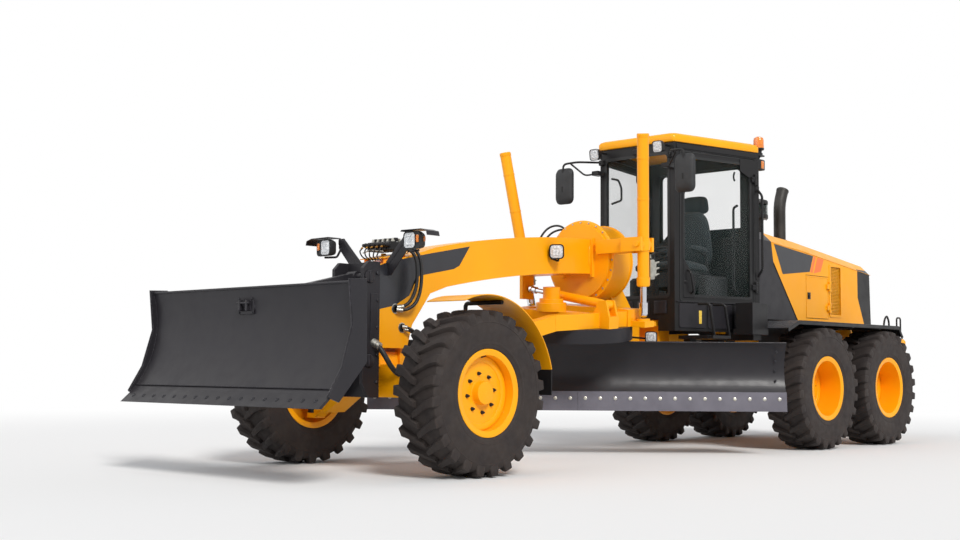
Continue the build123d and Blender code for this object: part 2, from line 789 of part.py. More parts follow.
with BuildPart() as dozer:
    with BuildSketch(Plane.XZ.offset(-dozer_half_width)) as section:
        with BuildLine():
            upper = (front_axle_x + 1471, dozer_top_z)
            middle = (front_axle_x + 1435, 1150)
            lower = (front_axle_x + 1650, 680)
            bottom = (dozer_bottom_x, dozer_bottom_z)
            ThreePointArc(upper, middle, lower)
            Line(lower, bottom)
            Line(bottom, (bottom[0] - 35, bottom[1]))
            Line((bottom[0] - 35, bottom[1]), (lower[0] - 30, lower[1]))
            ThreePointArc((lower[0] - 30, lower[1]), (middle[0] - 22, middle[1]), (upper[0] - 22, upper[1]))
            Line((upper[0] - 22, upper[1]), upper)
        make_face()
    extrude(section.sketch, amount=2 * dozer_half_width)
    for name, side in sides:
        end = sorted((side * (dozer_half_width - 1), side * (dozer_half_width + 15)))
        side_plate(
            [
                (front_axle_x + 1335, 1512),
                (front_axle_x + 1500, 1512),
                (front_axle_x + 1465, 1180),
                (front_axle_x + 1560, 870),
                (front_axle_x + 1690, 660),
                (front_axle_x + 1586, 623),
                (front_axle_x + 1325, 913),
            ],
            end,
        )
        for inner, outer, (x, z) in ((165, 200, low_eye), (60, 95, high_eye)):
            lug_y = sorted((side * inner, side * outer))
            side_plate(
                [(x, z - 60), (front_axle_x + 1440, z - 90), (front_axle_x + 1440, z + 70), (x, z + 60)],
                lug_y,
            )
            rod((x, lug_y[0], z), (x, lug_y[1], z), 60)
            rod((x, 0, z), (x, side * outer, z), 30)
        for y in (420, 840):
            rib = sorted((side * y, side * (y + 20)))
            side_plate(
                [
                    (front_axle_x + 1350, 900),
                    (front_axle_x + 1425, 900),
                    (front_axle_x + 1425, 1400),
                    (front_axle_x + 1350, 1350),
                ],
                rib,
            )
    block((front_axle_x + 1350, front_axle_x + 1425), (-900, 900), (1040, 1120))
keep(dozer, "dozer_blade")

# Rear frame: hinge ears, rails and the drive axle's housing

hinge_back = pivot_x - 200
with BuildPart() as chassis:
    for z in ((pivot_low_z, barrel_low - seat_gap), (barrel_high + seat_gap, pivot_high_z)):
        rod((pivot_x, 0, z[0]), (pivot_x, 0, z[1]), 125)
        flat_plate(
            [(pivot_x, -125), (pivot_x, 125), (hinge_back, 260), (hinge_back, -260)],
            z,
        )
    block((hinge_back - 100, hinge_back), (-260, 260), (pivot_low_z, cab_floor_z - seat_gap))
    block((hinge_back - 100, hinge_back), (-rail_y - 40, rail_y + 40), (pivot_low_z, rail_z[1]))
    for name, side in sides:
        block((rail_rear_x, hinge_back), sorted((side * (rail_y - 40), side * (rail_y + 40))), rail_z)
        block((-1700, -1600), sorted((side * (rail_y - 40), side * (rail_y + 40))), (1000, cab_floor_z - seat_gap))
        for x in (-2100, -4600):
            block((x, x + 80), sorted((side * (rail_y - 40), side * hood_half)), (1000, hood_bottom_z - seat_gap))
    for x in (-1900, -4600):
        block((x, x + 80), (-rail_y, rail_y), (rail_z[0] + 40, rail_z[1] - 40))
    rod((tandem_x, -case_y[0], hub_z), (tandem_x, case_y[0], hub_z), 190)
    rod((pivot_x, 0, pivot_low_z - 10), (pivot_x, 0, pivot_high_z + 10), pivot_pin_radius + pin_gap, mode=Mode.SUBTRACT)
    # Towing plate below the counterweight
    block((-4880, -4520), (-90, 90), tow_plate_z)
    block((-4600, -4520), (-90, 90), (tow_plate_z[0], 860))
    rod((tow_x, 0, tow_plate_z[0] - 10), (tow_x, 0, tow_plate_z[1] + 10), tow_bore_radius, mode=Mode.SUBTRACT)
keep(chassis, "rear_chassis")

with BuildPart() as cases:
    reach = tandem_spacing / 2
    for name, side in sides:
        side_plate(
            [
                (tandem_x - reach - 160, hub_z - 60),
                (tandem_x - reach - 60, hub_z - 170),
                (tandem_x + reach + 60, hub_z - 170),
                (tandem_x + reach + 160, hub_z - 60),
                (tandem_x + reach + 160, hub_z + 60),
                (tandem_x + reach + 60, hub_z + 170),
                (tandem_x - reach - 60, hub_z + 170),
                (tandem_x - reach - 160, hub_z + 60),
            ],
            sorted((side * (case_y[0] + seat_gap), side * case_y[1])),
        )
        hub_face = wheel_y + rear_disc_inset - disc_thickness / 2 - seat_gap
        for x in (tandem_x - reach, tandem_x + reach):
            rod((x, side * (case_y[1] - 10), hub_z), (x, side * hub_face, hub_z), 110)
keep(cases, "tandem_cases")

with BuildPart() as counterweight:
    block((rear_x, rail_rear_x - seat_gap), (-1050, 1050), (860, 1280))
    chamfer(counterweight.edges().filter_by(Axis.Z).group_by(Axis.X)[0], 110)
    chamfer(counterweight.faces().sort_by(Axis.X)[0].edges(), 25)
keep(counterweight, "counterweight")

with BuildPart() as engine:
    block((-3900, -2400), (-360, 360), (rail_z[1] + seat_gap, 1950))
keep(engine, "engine_block")

# Hood: one hollow shape, parted into a dark cowl, the yellow hood and the rear grille

hood_line = [  # x, top z
    (hood_front_x, 2475),
    (-2370, 2456),
    (-2680, 2425),
    (-3050, 2400),
    (-3780, 2320),
    (-4850, 2200),
]
hood_seam = [(-2370, 2600), (-2370, 2456), (-2435, 2125), (-3100, 1300)]
grille_seam = [(-4900, 2150), (-4480, 2150), (-4482, 1790), (-4650, 1450), (-4650, 1300)]
grille_back = [(-4780, 2600), (-4840, 1300)]
with BuildPart() as hood_shell:
    for inset, mode in ((0, Mode.ADD), (panel_thickness, Mode.SUBTRACT)):
        sections = []
        for x, top in hood_line:
            half, peak = hood_half - inset, top - inset
            bevel = hood_bevel - inset / 4
            low = hood_bottom_z - 20 * inset
            inner_x = min(max(x, -4850 + 3 * inset), hood_front_x - inset)
            corner = [(half, low), (half, peak - bevel), (half - bevel, peak)]
            with BuildSketch(Plane.YZ.offset(inner_x)) as section:
                with BuildLine():
                    Polyline(*corner, *[(-y, z) for y, z in reversed(corner)], close=True)
                make_face()
            sections.append(section.sketch)
        loft(sections, ruled=True, mode=mode)

hood_parts = [  # name, outline kept in side view
    ("hood_cowl", [(hood_front_x + 10, 1300), (hood_front_x + 10, 2600)] + [(x + seat_gap, z) for x, z in hood_seam]),
    ("engine_hood", hood_seam + grille_seam[::-1] + [(-4900, 2600)]),
    ("rear_grille", [(x - seat_gap, z - seat_gap) for x, z in grille_seam] + [(-4900, 1300)]),
]
for name, outline in hood_parts:
    with BuildPart() as piece:
        add(hood_shell.part)
        side_plate(outline, (-700, 700), mode=Mode.INTERSECT)
        side_plate(grille_back + [(-5000, 1300), (-5000, 2600)], (-700, 700), mode=Mode.SUBTRACT)
        if name == "engine_hood":
            for _, side in sides:
                skirt = [(-4440, hood_bottom_z + 1), (-3420, hood_bottom_z + 1), (-3560, 1250), (-4440, 1250)]
                side_plate(skirt, sorted((side * (hood_half - panel_thickness + 8), side * (hood_half - 2))))
                through = sorted((side * 550, side * 650))
                block(hood_door_x, through, hood_door_z, mode=Mode.SUBTRACT)
                block((-4040, -3770), through, (1540, 2150), mode=Mode.SUBTRACT)
                for z in (1600, 1860):
                    hinge = (hood_door_x[0] - seat_gap, side * (hood_half + 14.5))
                    for low in (z - 30, z + 60 + seat_gap):
                        rod((*hinge, low), (*hinge, low + 30 - seat_gap), 14)
                        block(
                            (hinge[0] - 40, hinge[0]),
                            sorted((side * (hood_half - 4), side * (hood_half + 20))),
                            (low, low + 30 - seat_gap),
                        )
                    rod((*hinge, z - 10), (*hinge, z + 70), 8)
        if name == "rear_grille":
            block((-4900, -4700), (-500, 500), (1520, 2080), mode=Mode.SUBTRACT)
            for row in range(9):
                block((-4830, -4790), (-510, 510), (1545 + row * 58, 1575 + row * 58))
    keep(piece, name)

for name, side in sides:
    with BuildPart() as hood_door:
        face = sorted((side * (hood_half - panel_thickness), side * hood_half))
        block(
            (hood_door_x[0] + door_gap, hood_door_x[1] - door_gap),
            face,
            (hood_door_z[0] + door_gap, hood_door_z[1] - door_gap),
        )
        hinge = (hood_door_x[0] - seat_gap, side * (hood_half + 14.5))
        for z in (1600, 1860):
            rod((*hinge, z), (*hinge, z + 60), 14)
            block(
                (hinge[0] + 1, hinge[0] + 60),
                sorted((side * (hood_half - 4), side * (hood_half + 20))),
                (z, z + 60),
            )
            rod((*hinge, z - 20), (*hinge, z + 80), 8 + pin_gap, mode=Mode.SUBTRACT)
    keep(hood_door, f"hood_door_{name}")

with BuildPart() as stacks:
    rod((-3220, -100, 2340), (-3220, -100, 2720), 90)
    rod((-3220, -100, 2720), (-3220, -100, 2980), 150)
    rod((-3620, 0, 2310), (-3620, 0, 3010), 80)
    rod((-3620, 0, 3000), (-3700, 0, 3150), 80)
    for x, foot in ((-3220, 2392), (-3620, 2347)):
        block((x - 170, x + 170), (-260, 160), (2200, foot), mode=Mode.SUBTRACT)
keep(stacks, "hood_stacks")

# Rear fenders with their braces between the wheels

with BuildPart() as fenders:
    for name, side in sides:
        wide = sorted((side * (hood_half + 10), side * deck_half))
        side_plate(
            [
                (-1640, 1324),
                (-1870, deck_z),
                (-4270, deck_z),
                (-4370, 1285),
                (-4358, 1285),
                (-4260, deck_z - 10),
                (-1875, deck_z - 10),
                (-1640, 1314),
            ],
            wide,
        )
        block((cab_rear_x - 8, -1600), sorted((side * 600, side * (cab_rear_half + 10))), (1300, 1420), mode=Mode.SUBTRACT)
        brace = [(430, 1000), (430, 1080), (900, deck_z - 5), (1200, deck_z - 5), (1200, 1370), (920, 1330)]
        cross_plate([(side * y, z) for y, z in brace], (tandem_x - 30, tandem_x + 30))
        block((tandem_x - 60, tandem_x + 60), sorted((side * (rail_y + 40 + seat_gap), side * 440)), (980, 1080))
        tube(
            [
                (-4230, side * 1235, deck_z - 6),
                (-4230, side * 1235, deck_z + 105),
                (-4330, side * 1235, deck_z + 105),
                (-4330, side * 1235, 1340),
            ],
            30,
            10,
        )
keep(fenders, "rear_fenders")

with BuildPart() as tanks:
    for name, side in sides:
        block((-1640, -1320), sorted((side * 760, side * 1000)), (1250, 1312))
        block((-1630, -1320), sorted((side * 790, side * 1000)), (1300, 1590))
        block((-1560, -1400), sorted((side * (rail_y + 40 + seat_gap), side * 960)), (1190, 1260))
        for x in (-1560, -1000):
            block((x, x + 120), sorted((side * (rail_y + 40 + seat_gap), side * 500)), (980, 1235))
        for x in (-800, -1090):
            tube(
                [
                    (x, side * 720, 1215),
                    (x - 30, side * 840, 1215),
                    (x + 60, side * 840, 1560),
                    (x + 60, side * 700, 1560),
                ],
                35,
                15,
            )
        block((-1130, -790), sorted((side * 790, side * 850)), (1200, 1230))
        block((-1150, -780), sorted((side * (rail_y + 40 + seat_gap), side * 790)), (1195, 1235))
keep(tanks, "side_tanks")

# Cab

cab_run = hypot(cab_front_x - cab_rear_x, cab_rear_half - cab_front_half)
wall_x = (cab_front_x - cab_rear_x) / cab_run
wall_y = (cab_rear_half - cab_front_half) / cab_run


def on_wall(side, along, out):
    """A point of the slanted cab side: a distance forwards from its rear corner and a distance outwards."""
    x = cab_rear_x + along * wall_x + out * wall_y
    y = cab_rear_half - along * wall_y + out * wall_x
    return (x, side * y)


def wall(side, along, out, z, mode=Mode.ADD):
    """Add a slab along the cab's slanted side."""
    corners = [(along[0], out[0]), (along[1], out[0]), (along[1], out[1]), (along[0], out[1])]
    flat_plate([on_wall(side, a, o) for a, o in corners], z, mode)


door_from, door_to = post, cab_run - post
hinge_heights = (1750, 2950)
with BuildPart() as cab_frame:
    plan = [
        (cab_front_x, cab_front_half),
        (cab_front_x, -cab_front_half),
        (cab_rear_x, -cab_rear_half),
        (cab_rear_x, cab_rear_half),
    ]
    flat_plate(plan, (cab_skirt_z, cab_frame_z))
    front_in, rear_in = cab_front_half - 40, cab_rear_half - 58
    room = [
        (cab_front_x - cab_wall, front_in),
        (cab_front_x - cab_wall, -front_in),
        (cab_rear_x + cab_wall, -rear_in),
        (cab_rear_x + cab_wall, rear_in),
    ]
    flat_plate(room, (cab_floor_z + 30, cab_frame_z + 10), mode=Mode.SUBTRACT)
    flat_plate(room, (cab_skirt_z - 10, cab_floor_z), mode=Mode.SUBTRACT)
    block((-720, -590), (-280, 280), (cab_skirt_z - 10, cab_floor_z), mode=Mode.SUBTRACT)
    front_open = cab_front_half - post
    block((-660, -600), (-front_open, front_open), (1640, 3180), mode=Mode.SUBTRACT)
    block((-1870, -1800), (-550, 550), (2350, 3150), mode=Mode.SUBTRACT)
    for name, side in sides:
        wall(side, (door_from, door_to), (-120, 60), (cab_sill_z, cab_head_z), mode=Mode.SUBTRACT)
        hinge = on_wall(side, door_from, 14.5)
        for z in hinge_heights:
            for low in (z - 30, z + 60 + seat_gap):
                rod((*hinge, low), (*hinge, low + 30 - seat_gap), 14)
                wall(side, (door_from - 45, door_from), (-4, 22), (low, low + 30 - seat_gap))
            rod((*hinge, z - 10), (*hinge, z + 70), 8)
keep(cab_frame, "cab_frame")

for name, side in sides:
    with BuildPart() as door:
        inner_face = -2 - door_thickness
        leaf = (door_from + door_gap, door_to - door_gap)
        wall(side, leaf, (inner_face, -2), (cab_sill_z + door_gap, cab_head_z - door_gap))
        window = (leaf[0] + door_border, leaf[1] - door_border)
        window_z = (cab_sill_z + door_gap + door_border, cab_head_z - door_gap - door_border)
        wall(side, window, (-60, 20), window_z, mode=Mode.SUBTRACT)
        hinge = on_wall(side, door_from, 14.5)
        for z in hinge_heights:
            rod((*hinge, z), (*hinge, z + 60), 14)
            wall(side, (door_from, door_from + 60), (-6, 20), (z, z + 60))
            rod((*hinge, z - 20), (*hinge, z + 80), 8 + pin_gap, mode=Mode.SUBTRACT)
    keep(door, f"cab_door_{name}")
    with BuildPart() as pane:
        wall(
            side,
            (window[0] + seat_gap, window[1] - seat_gap),
            (-26, -26 + glass),
            (window_z[0] + seat_gap, window_z[1] - seat_gap),
        )
    keep(pane, f"door_glass_{name}")

with BuildPart() as cab_glass:
    block((-640, -640 + glass), (-front_open + seat_gap, front_open - seat_gap), (1640 + seat_gap, 3180 - seat_gap))
    block((-1842, -1842 + glass), (-550 + seat_gap, 550 - seat_gap), (2350 + seat_gap, 3150 - seat_gap))
keep(cab_glass, "cab_glass")

with BuildPart() as cab_roof:
    flat_plate(
        [(x + (15 if x > -1000 else -25), y + (15 if y > 0 else -15)) for x, y in plan],
        (cab_frame_z + seat_gap, cab_roof_z),
    )
    chamfer(cab_roof.faces().sort_by(Axis.Z)[-1].edges(), 35)
keep(cab_roof, "cab_roof")

with BuildPart() as cab_interior:
    floor = cab_floor_z + 30 + seat_gap
    block((-1560, -1160), (-200, 200), (floor, floor + 250))
    block((-1580, -1080), (-260, 260), (floor + 240, floor + 420))
    side_plate(
        [(-1600, floor + 300), (-1470, floor + 400), (-1560, floor + 1130), (-1680, floor + 1130)],
        (-240, 240),
    )
    block((-960, -860), (-60, 60), (floor, floor + 600))
    rod((-900, 0, floor + 560), (-960, 0, floor + 700), 40)
    rod((-945, 0, floor + 690), (-960, 0, floor + 725), 200)
keep(cab_interior, "cab_interior")

with BuildPart() as fittings:
    for name, side in sides:
        block((cab_front_x + seat_gap, cab_front_x + 40), sorted((side * 430, side * 490)), (3120, 3180))
        block((cab_front_x + 20, cab_front_x + 120), sorted((side * 400, side * 520)), (3095, 3225))
        tube(
            [
                (cab_front_x + 100, side * 500, 3150),
                (-330, side * 640, 3150),
                (-330, side * 800, 3120),
                (-330, side * 800, 2960),
            ],
            40,
            12,
        )
        block((-380, -310), sorted((side * 700, side * 900)), (2700, 3050))
        tube(
            [
                (*on_wall(side, 30, seat_gap), 2880),
                (*on_wall(side, 30, 75), 2880),
                (*on_wall(side, 30, 75), 1900),
                (*on_wall(side, 30, seat_gap), 1900),
            ],
            30,
            14,
        )
        block((-2010, cab_rear_x - seat_gap), sorted((side * 680, side * 760)), (3110, 3230))
    block((-2020, cab_rear_x - seat_gap), (650, 750), (3270, 3285))
    rod((-1970, 700, 3284), (-1970, 700, 3500), 48)
keep(fittings, "cab_fittings")

# Lamps and valve block on the gooseneck

with BuildPart() as lamps:
    neck_slope = (1735 - 1947) / (neck_front_x - (front_axle_x - 500))
    for x in (2975, 3330):
        top = 1947 + (x - (front_axle_x - 500)) * neck_slope
        if x == 2975:
            rear_top = top
    side_plate([(2975, rear_top + 0.5), (3330, top + 0.5), (3330, 2000), (2975, 2000)], (-150, 150))
    rod((3290, -560, 1900), (3290, 560, 1900), 22)
    for name, side in sides:
        block((3220, 3330), sorted((side * 470, side * 660)), (1860, 2010))
keep(lamps, "neck_fittings")
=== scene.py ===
"""A motor grader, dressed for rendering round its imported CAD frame.

Lengths are metres in the row frame: +X is forward, +Y is the machine's left and +Z is up.
"""

import json

import bmesh
import bpy
import numpy as np
from mathutils import Matrix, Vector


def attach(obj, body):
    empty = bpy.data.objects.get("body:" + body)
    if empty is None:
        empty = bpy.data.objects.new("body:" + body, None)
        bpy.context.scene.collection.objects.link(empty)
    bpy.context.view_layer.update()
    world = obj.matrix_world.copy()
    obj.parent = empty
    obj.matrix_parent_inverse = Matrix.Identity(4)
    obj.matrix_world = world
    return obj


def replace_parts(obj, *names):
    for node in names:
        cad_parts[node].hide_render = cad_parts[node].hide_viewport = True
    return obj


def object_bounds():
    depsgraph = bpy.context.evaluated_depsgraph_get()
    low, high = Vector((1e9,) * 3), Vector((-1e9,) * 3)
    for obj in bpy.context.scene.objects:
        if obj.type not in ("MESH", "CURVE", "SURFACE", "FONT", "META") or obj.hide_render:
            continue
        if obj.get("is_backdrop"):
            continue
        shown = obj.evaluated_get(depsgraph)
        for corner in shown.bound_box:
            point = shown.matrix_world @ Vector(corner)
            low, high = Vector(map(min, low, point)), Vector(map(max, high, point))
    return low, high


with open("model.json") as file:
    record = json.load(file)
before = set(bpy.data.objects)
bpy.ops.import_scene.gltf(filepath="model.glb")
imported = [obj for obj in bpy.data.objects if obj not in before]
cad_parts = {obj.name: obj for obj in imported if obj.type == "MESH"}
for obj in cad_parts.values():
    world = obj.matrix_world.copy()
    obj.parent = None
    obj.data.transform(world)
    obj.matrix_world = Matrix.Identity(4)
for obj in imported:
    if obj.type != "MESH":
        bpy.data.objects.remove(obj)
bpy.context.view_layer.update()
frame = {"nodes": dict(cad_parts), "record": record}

front_axle_x = 3.13
wheel_y = 1.077
hub_z = 0.674
sides = (("left", 1), ("right", -1))
hood_y = 0.600


# Materials


def linear(code):
    """An sRGB hex colour as linear colour: dark parts over 12.92, the rest raised to 2.4."""
    part = np.array([int(code[i : i + 2], 16) for i in (1, 3, 5)]) / 255
    light = np.where(part <= 0.04045, part / 12.92, ((part + 0.055) / 1.055) ** 2.4)
    return (*light.tolist(), 1.0)


def add(tree, kind, inputs=None, **settings):
    """Add a node with its settings; each input is a value or another node's output."""
    node = tree.nodes.new(f"ShaderNode{kind}")
    for key, value in settings.items():
        setattr(node, key, value)
    for key, value in (inputs or {}).items():
        if isinstance(value, bpy.types.NodeSocket):
            tree.links.new(value, node.inputs[key])
        else:
            node.inputs[key].default_value = value
    return node


def finish(name, **values):
    """Start a material with constants on its shader's own sockets; gives it, its tree and shader."""
    material = bpy.data.materials.new(name)
    material.use_nodes = True
    tree = material.node_tree
    shader = tree.nodes["Principled BSDF"]
    for key, value in values.items():
        shader.inputs[key.replace("_", " ")].default_value = value
    return material, tree, shader


def varied(tree, place, one, other, scale):
    """Colour that drifts between two colours as a noise of that many features a metre does."""
    cloud = add(tree, "TexNoise", {"Vector": place, "Scale": scale, "Detail": 4.0})
    share = add(tree, "MapRange", {0: cloud.outputs[0], 1: 0.35, 2: 0.65})
    mixed = add(tree, "Mix", {0: share.outputs[0], 6: one, 7: other}, data_type="RGBA")
    return mixed.outputs[2]


def rough(tree, shader, place, scale, low, high):
    """Roughness between two values, in clouds of that many a metre."""
    cloud = add(tree, "TexNoise", {"Vector": place, "Scale": scale, "Detail": 5.0})
    share = add(tree, "MapRange", {0: cloud.outputs[0], 1: 0.3, 2: 0.7, 3: low, 4: high})
    tree.links.new(share.outputs[0], shader.inputs["Roughness"])


def enamel(name, colour, shade, worn, dust, roughness, coat, gloss):
    """Two-part enamel sprayed on steel: an even gloss skin with orange peel, eased edges that show
    lighter where hands and stones reach them, and a film of dust on what faces up."""
    material, tree, shader = finish(name, Coat_Weight=coat, Coat_Roughness=0.08, Specular_IOR_Level=gloss, IOR=1.5)
    place = add(tree, "TexCoord").outputs["Object"]
    surface = add(tree, "NewGeometry")
    paint = varied(tree, place, linear(colour), linear(shade), 1.3)
    # Edges: the rounded normal leaves the flat one only within 6 mm of an edge
    rounded_edge = add(tree, "Bevel", {"Radius": 0.006}, samples=4)
    turn = add(tree, "VectorMath", {0: rounded_edge.outputs[0], 1: surface.outputs["Normal"]}, operation="DOT_PRODUCT")
    edge = add(tree, "MapRange", {0: turn.outputs["Value"], 1: 0.995, 2: 0.90})
    chips = add(tree, "TexNoise", {"Vector": place, "Scale": 22.0, "Detail": 6.0})
    chipped = add(tree, "MapRange", {0: chips.outputs[0], 1: 0.44, 2: 0.62})
    wear = add(tree, "Math", {0: edge.outputs[0], 1: chipped.outputs[0]}, operation="MULTIPLY")
    eased = add(tree, "Mix", {0: wear.outputs[0], 6: paint, 7: linear(worn)}, data_type="RGBA")
    # Dust: thickest where the surface faces up, in clouds
    facing = add(tree, "SeparateXYZ", {0: surface.outputs["Normal"]})
    level = add(tree, "MapRange", {0: facing.outputs["Z"], 1: 0.25, 2: 1.0, 3: 0.02, 4: dust})
    clouds = add(tree, "TexNoise", {"Vector": place, "Scale": 5.0, "Detail": 6.0})
    film = add(tree, "Math", {0: level.outputs[0], 1: clouds.outputs[0]}, operation="MULTIPLY")
    dusty = add(tree, "Mix", {0: film.outputs[0], 6: eased.outputs[2], 7: linear("#a39a8b")}, data_type="RGBA")
    tree.links.new(dusty.outputs[2], shader.inputs["Base Color"])
    rough(tree, shader, place, 9.0, roughness * 0.85, roughness * 1.3)
    # Orange peel is 1 to 2 mm across, drawn at 8 mm so that it shows
    peel = add(tree, "TexNoise", {"Vector": place, "Scale": 120.0, "Detail": 2.0})
    bump = add(
        tree,
        "Bump",
        {"Height": peel.outputs[0], "Normal": rounded_edge.outputs[0], "Strength": 0.06, "Distance": 0.001},
    )
    tree.links.new(bump.outputs[0], shader.inputs["Normal"])
    return material


def skin(name, colour, shade, scale, low, high, grain, depth, **values):
    """A plain material: two close tones in clouds, roughness in clouds, and a grain of bumps.
    grain is in features a metre and depth in metres."""
    material, tree, shader = finish(name, **values)
    place = add(tree, "TexCoord").outputs["Object"]
    tree.links.new(varied(tree, place, linear(colour), linear(shade), scale), shader.inputs["Base Color"])
    rough(tree, shader, place, scale * 3, low, high)
    dots = add(tree, "TexNoise", {"Vector": place, "Scale": grain, "Detail": 3.0})
    bump = add(tree, "Bump", {"Height": dots.outputs[0], "Strength": 0.5, "Distance": depth})
    tree.links.new(bump.outputs[0], shader.inputs["Normal"])
    return material


yellow_enamel = enamel("yellow_enamel", "#ffae00", "#fba600", "#ffc13c", 0.04, 0.34, 0.08, 0.25)
charcoal_enamel = enamel("charcoal_enamel", "#232227", "#252429", "#4a4950", 0.05, 0.36, 0.04, 0.22)
black_enamel = enamel("black_enamel", "#19191c", "#141416", "#2f2f34", 0.05, 0.36, 0.04, 0.22)
# Moulded tyre rubber: matt, brownish on the tread, and finely pebbled by the mould
tyre_rubber = skin(
    "moulded_tyre_rubber", "#2a2423", "#332c29", 6.0, 0.62, 0.82, 700.0, 0.0006, Specular_IOR_Level=0.35
)
# Rolled cutting steel: grey mill finish with dull patches
cutting_steel = skin("rolled_cutting_steel", "#5d5b63", "#56545c", 5.0, 0.40, 0.55, 300.0, 0.0004, Metallic=0.7)
# Hard chrome on a ground rod: near mirror, with faint dulling where the gland wipes it
hard_chrome = skin("hard_chrome_rod", "#d9dade", "#c8c9ce", 8.0, 0.06, 0.16, 500.0, 0.00005, Metallic=1.0)
# Zinc plate on bolts and fittings: pale, slightly yellowed, half dull
zinc_plate = skin("zinc_plated_steel", "#b9b7ae", "#a19f97", 30.0, 0.30, 0.48, 900.0, 0.0001, Metallic=0.9)
# Brass hydraulic fittings: turned, golden, with a dull film
brass_fitting = skin("turned_brass_fitting", "#b98a3e", "#9c7231", 40.0, 0.26, 0.42, 900.0, 0.0001, Metallic=1.0)
# Black oxide on the blades' bolts
oxide_bolt = skin("black_oxide_steel", "#232327", "#2c2c31", 40.0, 0.35, 0.55, 900.0, 0.0001, Metallic=0.5)
# Moulded cab plastic: a fine leather grain
cab_plastic = skin("grained_cab_plastic", "#2b2c2e", "#242527", 7.0, 0.50, 0.66, 600.0, 0.0005, Specular_IOR_Level=0.4)
# Hose rubber over wire: satin, with the wrap's fine weave
hose_rubber = skin(
    "wrapped_hose_rubber", "#191a1b", "#222324", 30.0, 0.42, 0.58, 900.0, 0.0004, Specular_IOR_Level=0.4
)
# Aluminised exhaust steel that heat has browned
exhaust_steel = skin("heated_exhaust_steel", "#3a3836", "#2a2927", 6.0, 0.42, 0.62, 260.0, 0.0005, Metallic=0.55)
# Cut vinyl films on the hood and neck: smooth and flat
black_film = skin("black_vinyl_film", "#25262b", "#2b2c32", 3.0, 0.30, 0.38, 90.0, 0.0001)
orange_film = skin("orange_vinyl_film", "#fb7a2a", "#f57023", 3.0, 0.30, 0.38, 90.0, 0.0001)
# Woven seat cloth over foam: matt, with a visible thread
seat_cloth = skin("woven_seat_cloth", "#2a3236", "#252d31", 12.0, 0.82, 0.95, 400.0, 0.0005, Sheen_Weight=0.1)
# Mirror glass: silvered behind
mirror_glass = skin("silvered_mirror", "#c9ced2", "#c2c7cb", 2.0, 0.02, 0.04, 40.0, 0.00001, Metallic=1.0)


def lens(name, colour, glow, density):
    """Moulded lamp plastic: clear or coloured through, with prisms of about 6 mm inside."""
    material, tree, shader = finish(name, Roughness=0.12, IOR=1.49, Transmission_Weight=density, Coat_Weight=0.6)
    place = add(tree, "TexCoord").outputs["Object"]
    tone = varied(tree, place, linear(colour), linear(glow), 60.0)
    tree.links.new(tone, shader.inputs["Base Color"])
    prisms = add(tree, "TexVoronoi", {"Vector": place, "Scale": 160.0}, distance="CHEBYCHEV")
    bump = add(tree, "Bump", {"Height": prisms.outputs[0], "Strength": 0.5, "Distance": 0.001})
    tree.links.new(bump.outputs[0], shader.inputs["Normal"])
    return material


amber_lens = lens("amber_lamp_plastic", "#ef7f10", "#ff9a22", 0.25)
red_lens = lens("red_lamp_plastic", "#b3140f", "#d5261c", 0.2)
clear_lens = lens("clear_lamp_plastic", "#f6f8fa", "#b9bfc6", 0.12)
reflector = lens("yellow_reflector_plastic", "#f2c200", "#ffd84a", 0.1)

# Tinted safety glass: a clear grey-green sheet that lets most through, and mirrors at a low angle
tinted_glass, tree, shader = finish("tinted_safety_glass", Roughness=0.03, IOR=1.52, Specular_IOR_Level=0.8)
place = add(tree, "TexCoord").outputs["Object"]
tree.links.new(varied(tree, place, linear("#3f5450"), linear("#354a47"), 2.0), shader.inputs["Base Color"])
glance = add(tree, "LayerWeight", {"Blend": 0.35})
cover = add(tree, "MapRange", {0: glance.outputs["Facing"], 1: 0.3, 2: 1.0, 3: 0.06, 4: 0.55})
tree.links.new(cover.outputs[0], shader.inputs["Alpha"])

# Checker plate: black paint over lozenges rolled in cells of 22 by 62 mm that slant both ways, bright
# where boots rub them
checker_plate, tree, shader = finish("painted_checker_plate", Metallic=0.2, IOR=1.5)
place = add(tree, "TexCoord").outputs["Object"]
lozenges = []
for slant in (0.8, -0.8):
    turned_place = add(tree, "Mapping", {"Vector": place, "Rotation": (0, 0, slant), "Scale": (45.0, 16.0, 1.0)})
    cell = add(tree, "TexVoronoi", {"Vector": turned_place.outputs[0], "Randomness": 0.0}, voronoi_dimensions="2D")
    lozenges.append(add(tree, "MapRange", {0: cell.outputs[0], 1: 0.34, 2: 0.22}).outputs[0])
raised = add(tree, "Math", {0: lozenges[0], 1: lozenges[1]}, operation="MAXIMUM").outputs[0]
plate_tone = add(tree, "Mix", {0: raised, 6: linear("#232427"), 7: linear("#56575c")}, data_type="RGBA")
tree.links.new(plate_tone.outputs[2], shader.inputs["Base Color"])
rough(tree, shader, place, 20.0, 0.38, 0.6)
plate_bump = add(tree, "Bump", {"Height": raised, "Strength": 0.8, "Distance": 0.002})
tree.links.new(plate_bump.outputs[0], shader.inputs["Normal"])

slot_finish = {
    "yellow_paint": yellow_enamel,
    "charcoal_paint": charcoal_enamel,
    "black_paint": black_enamel,
    "tyre_rubber": tyre_rubber,
    "bare_steel": cutting_steel,
    "chromed_rod": hard_chrome,
    "tinted_glass": tinted_glass,
    "seat_plastic": cab_plastic,
}
for part in frame["record"]["subparts"]:
    node = frame["nodes"][part["node"]]
    node.data.materials.clear()
    node.data.materials.append(slot_finish[part["material_slot"]])


# Surfaces: a shape is its points and its four-cornered faces


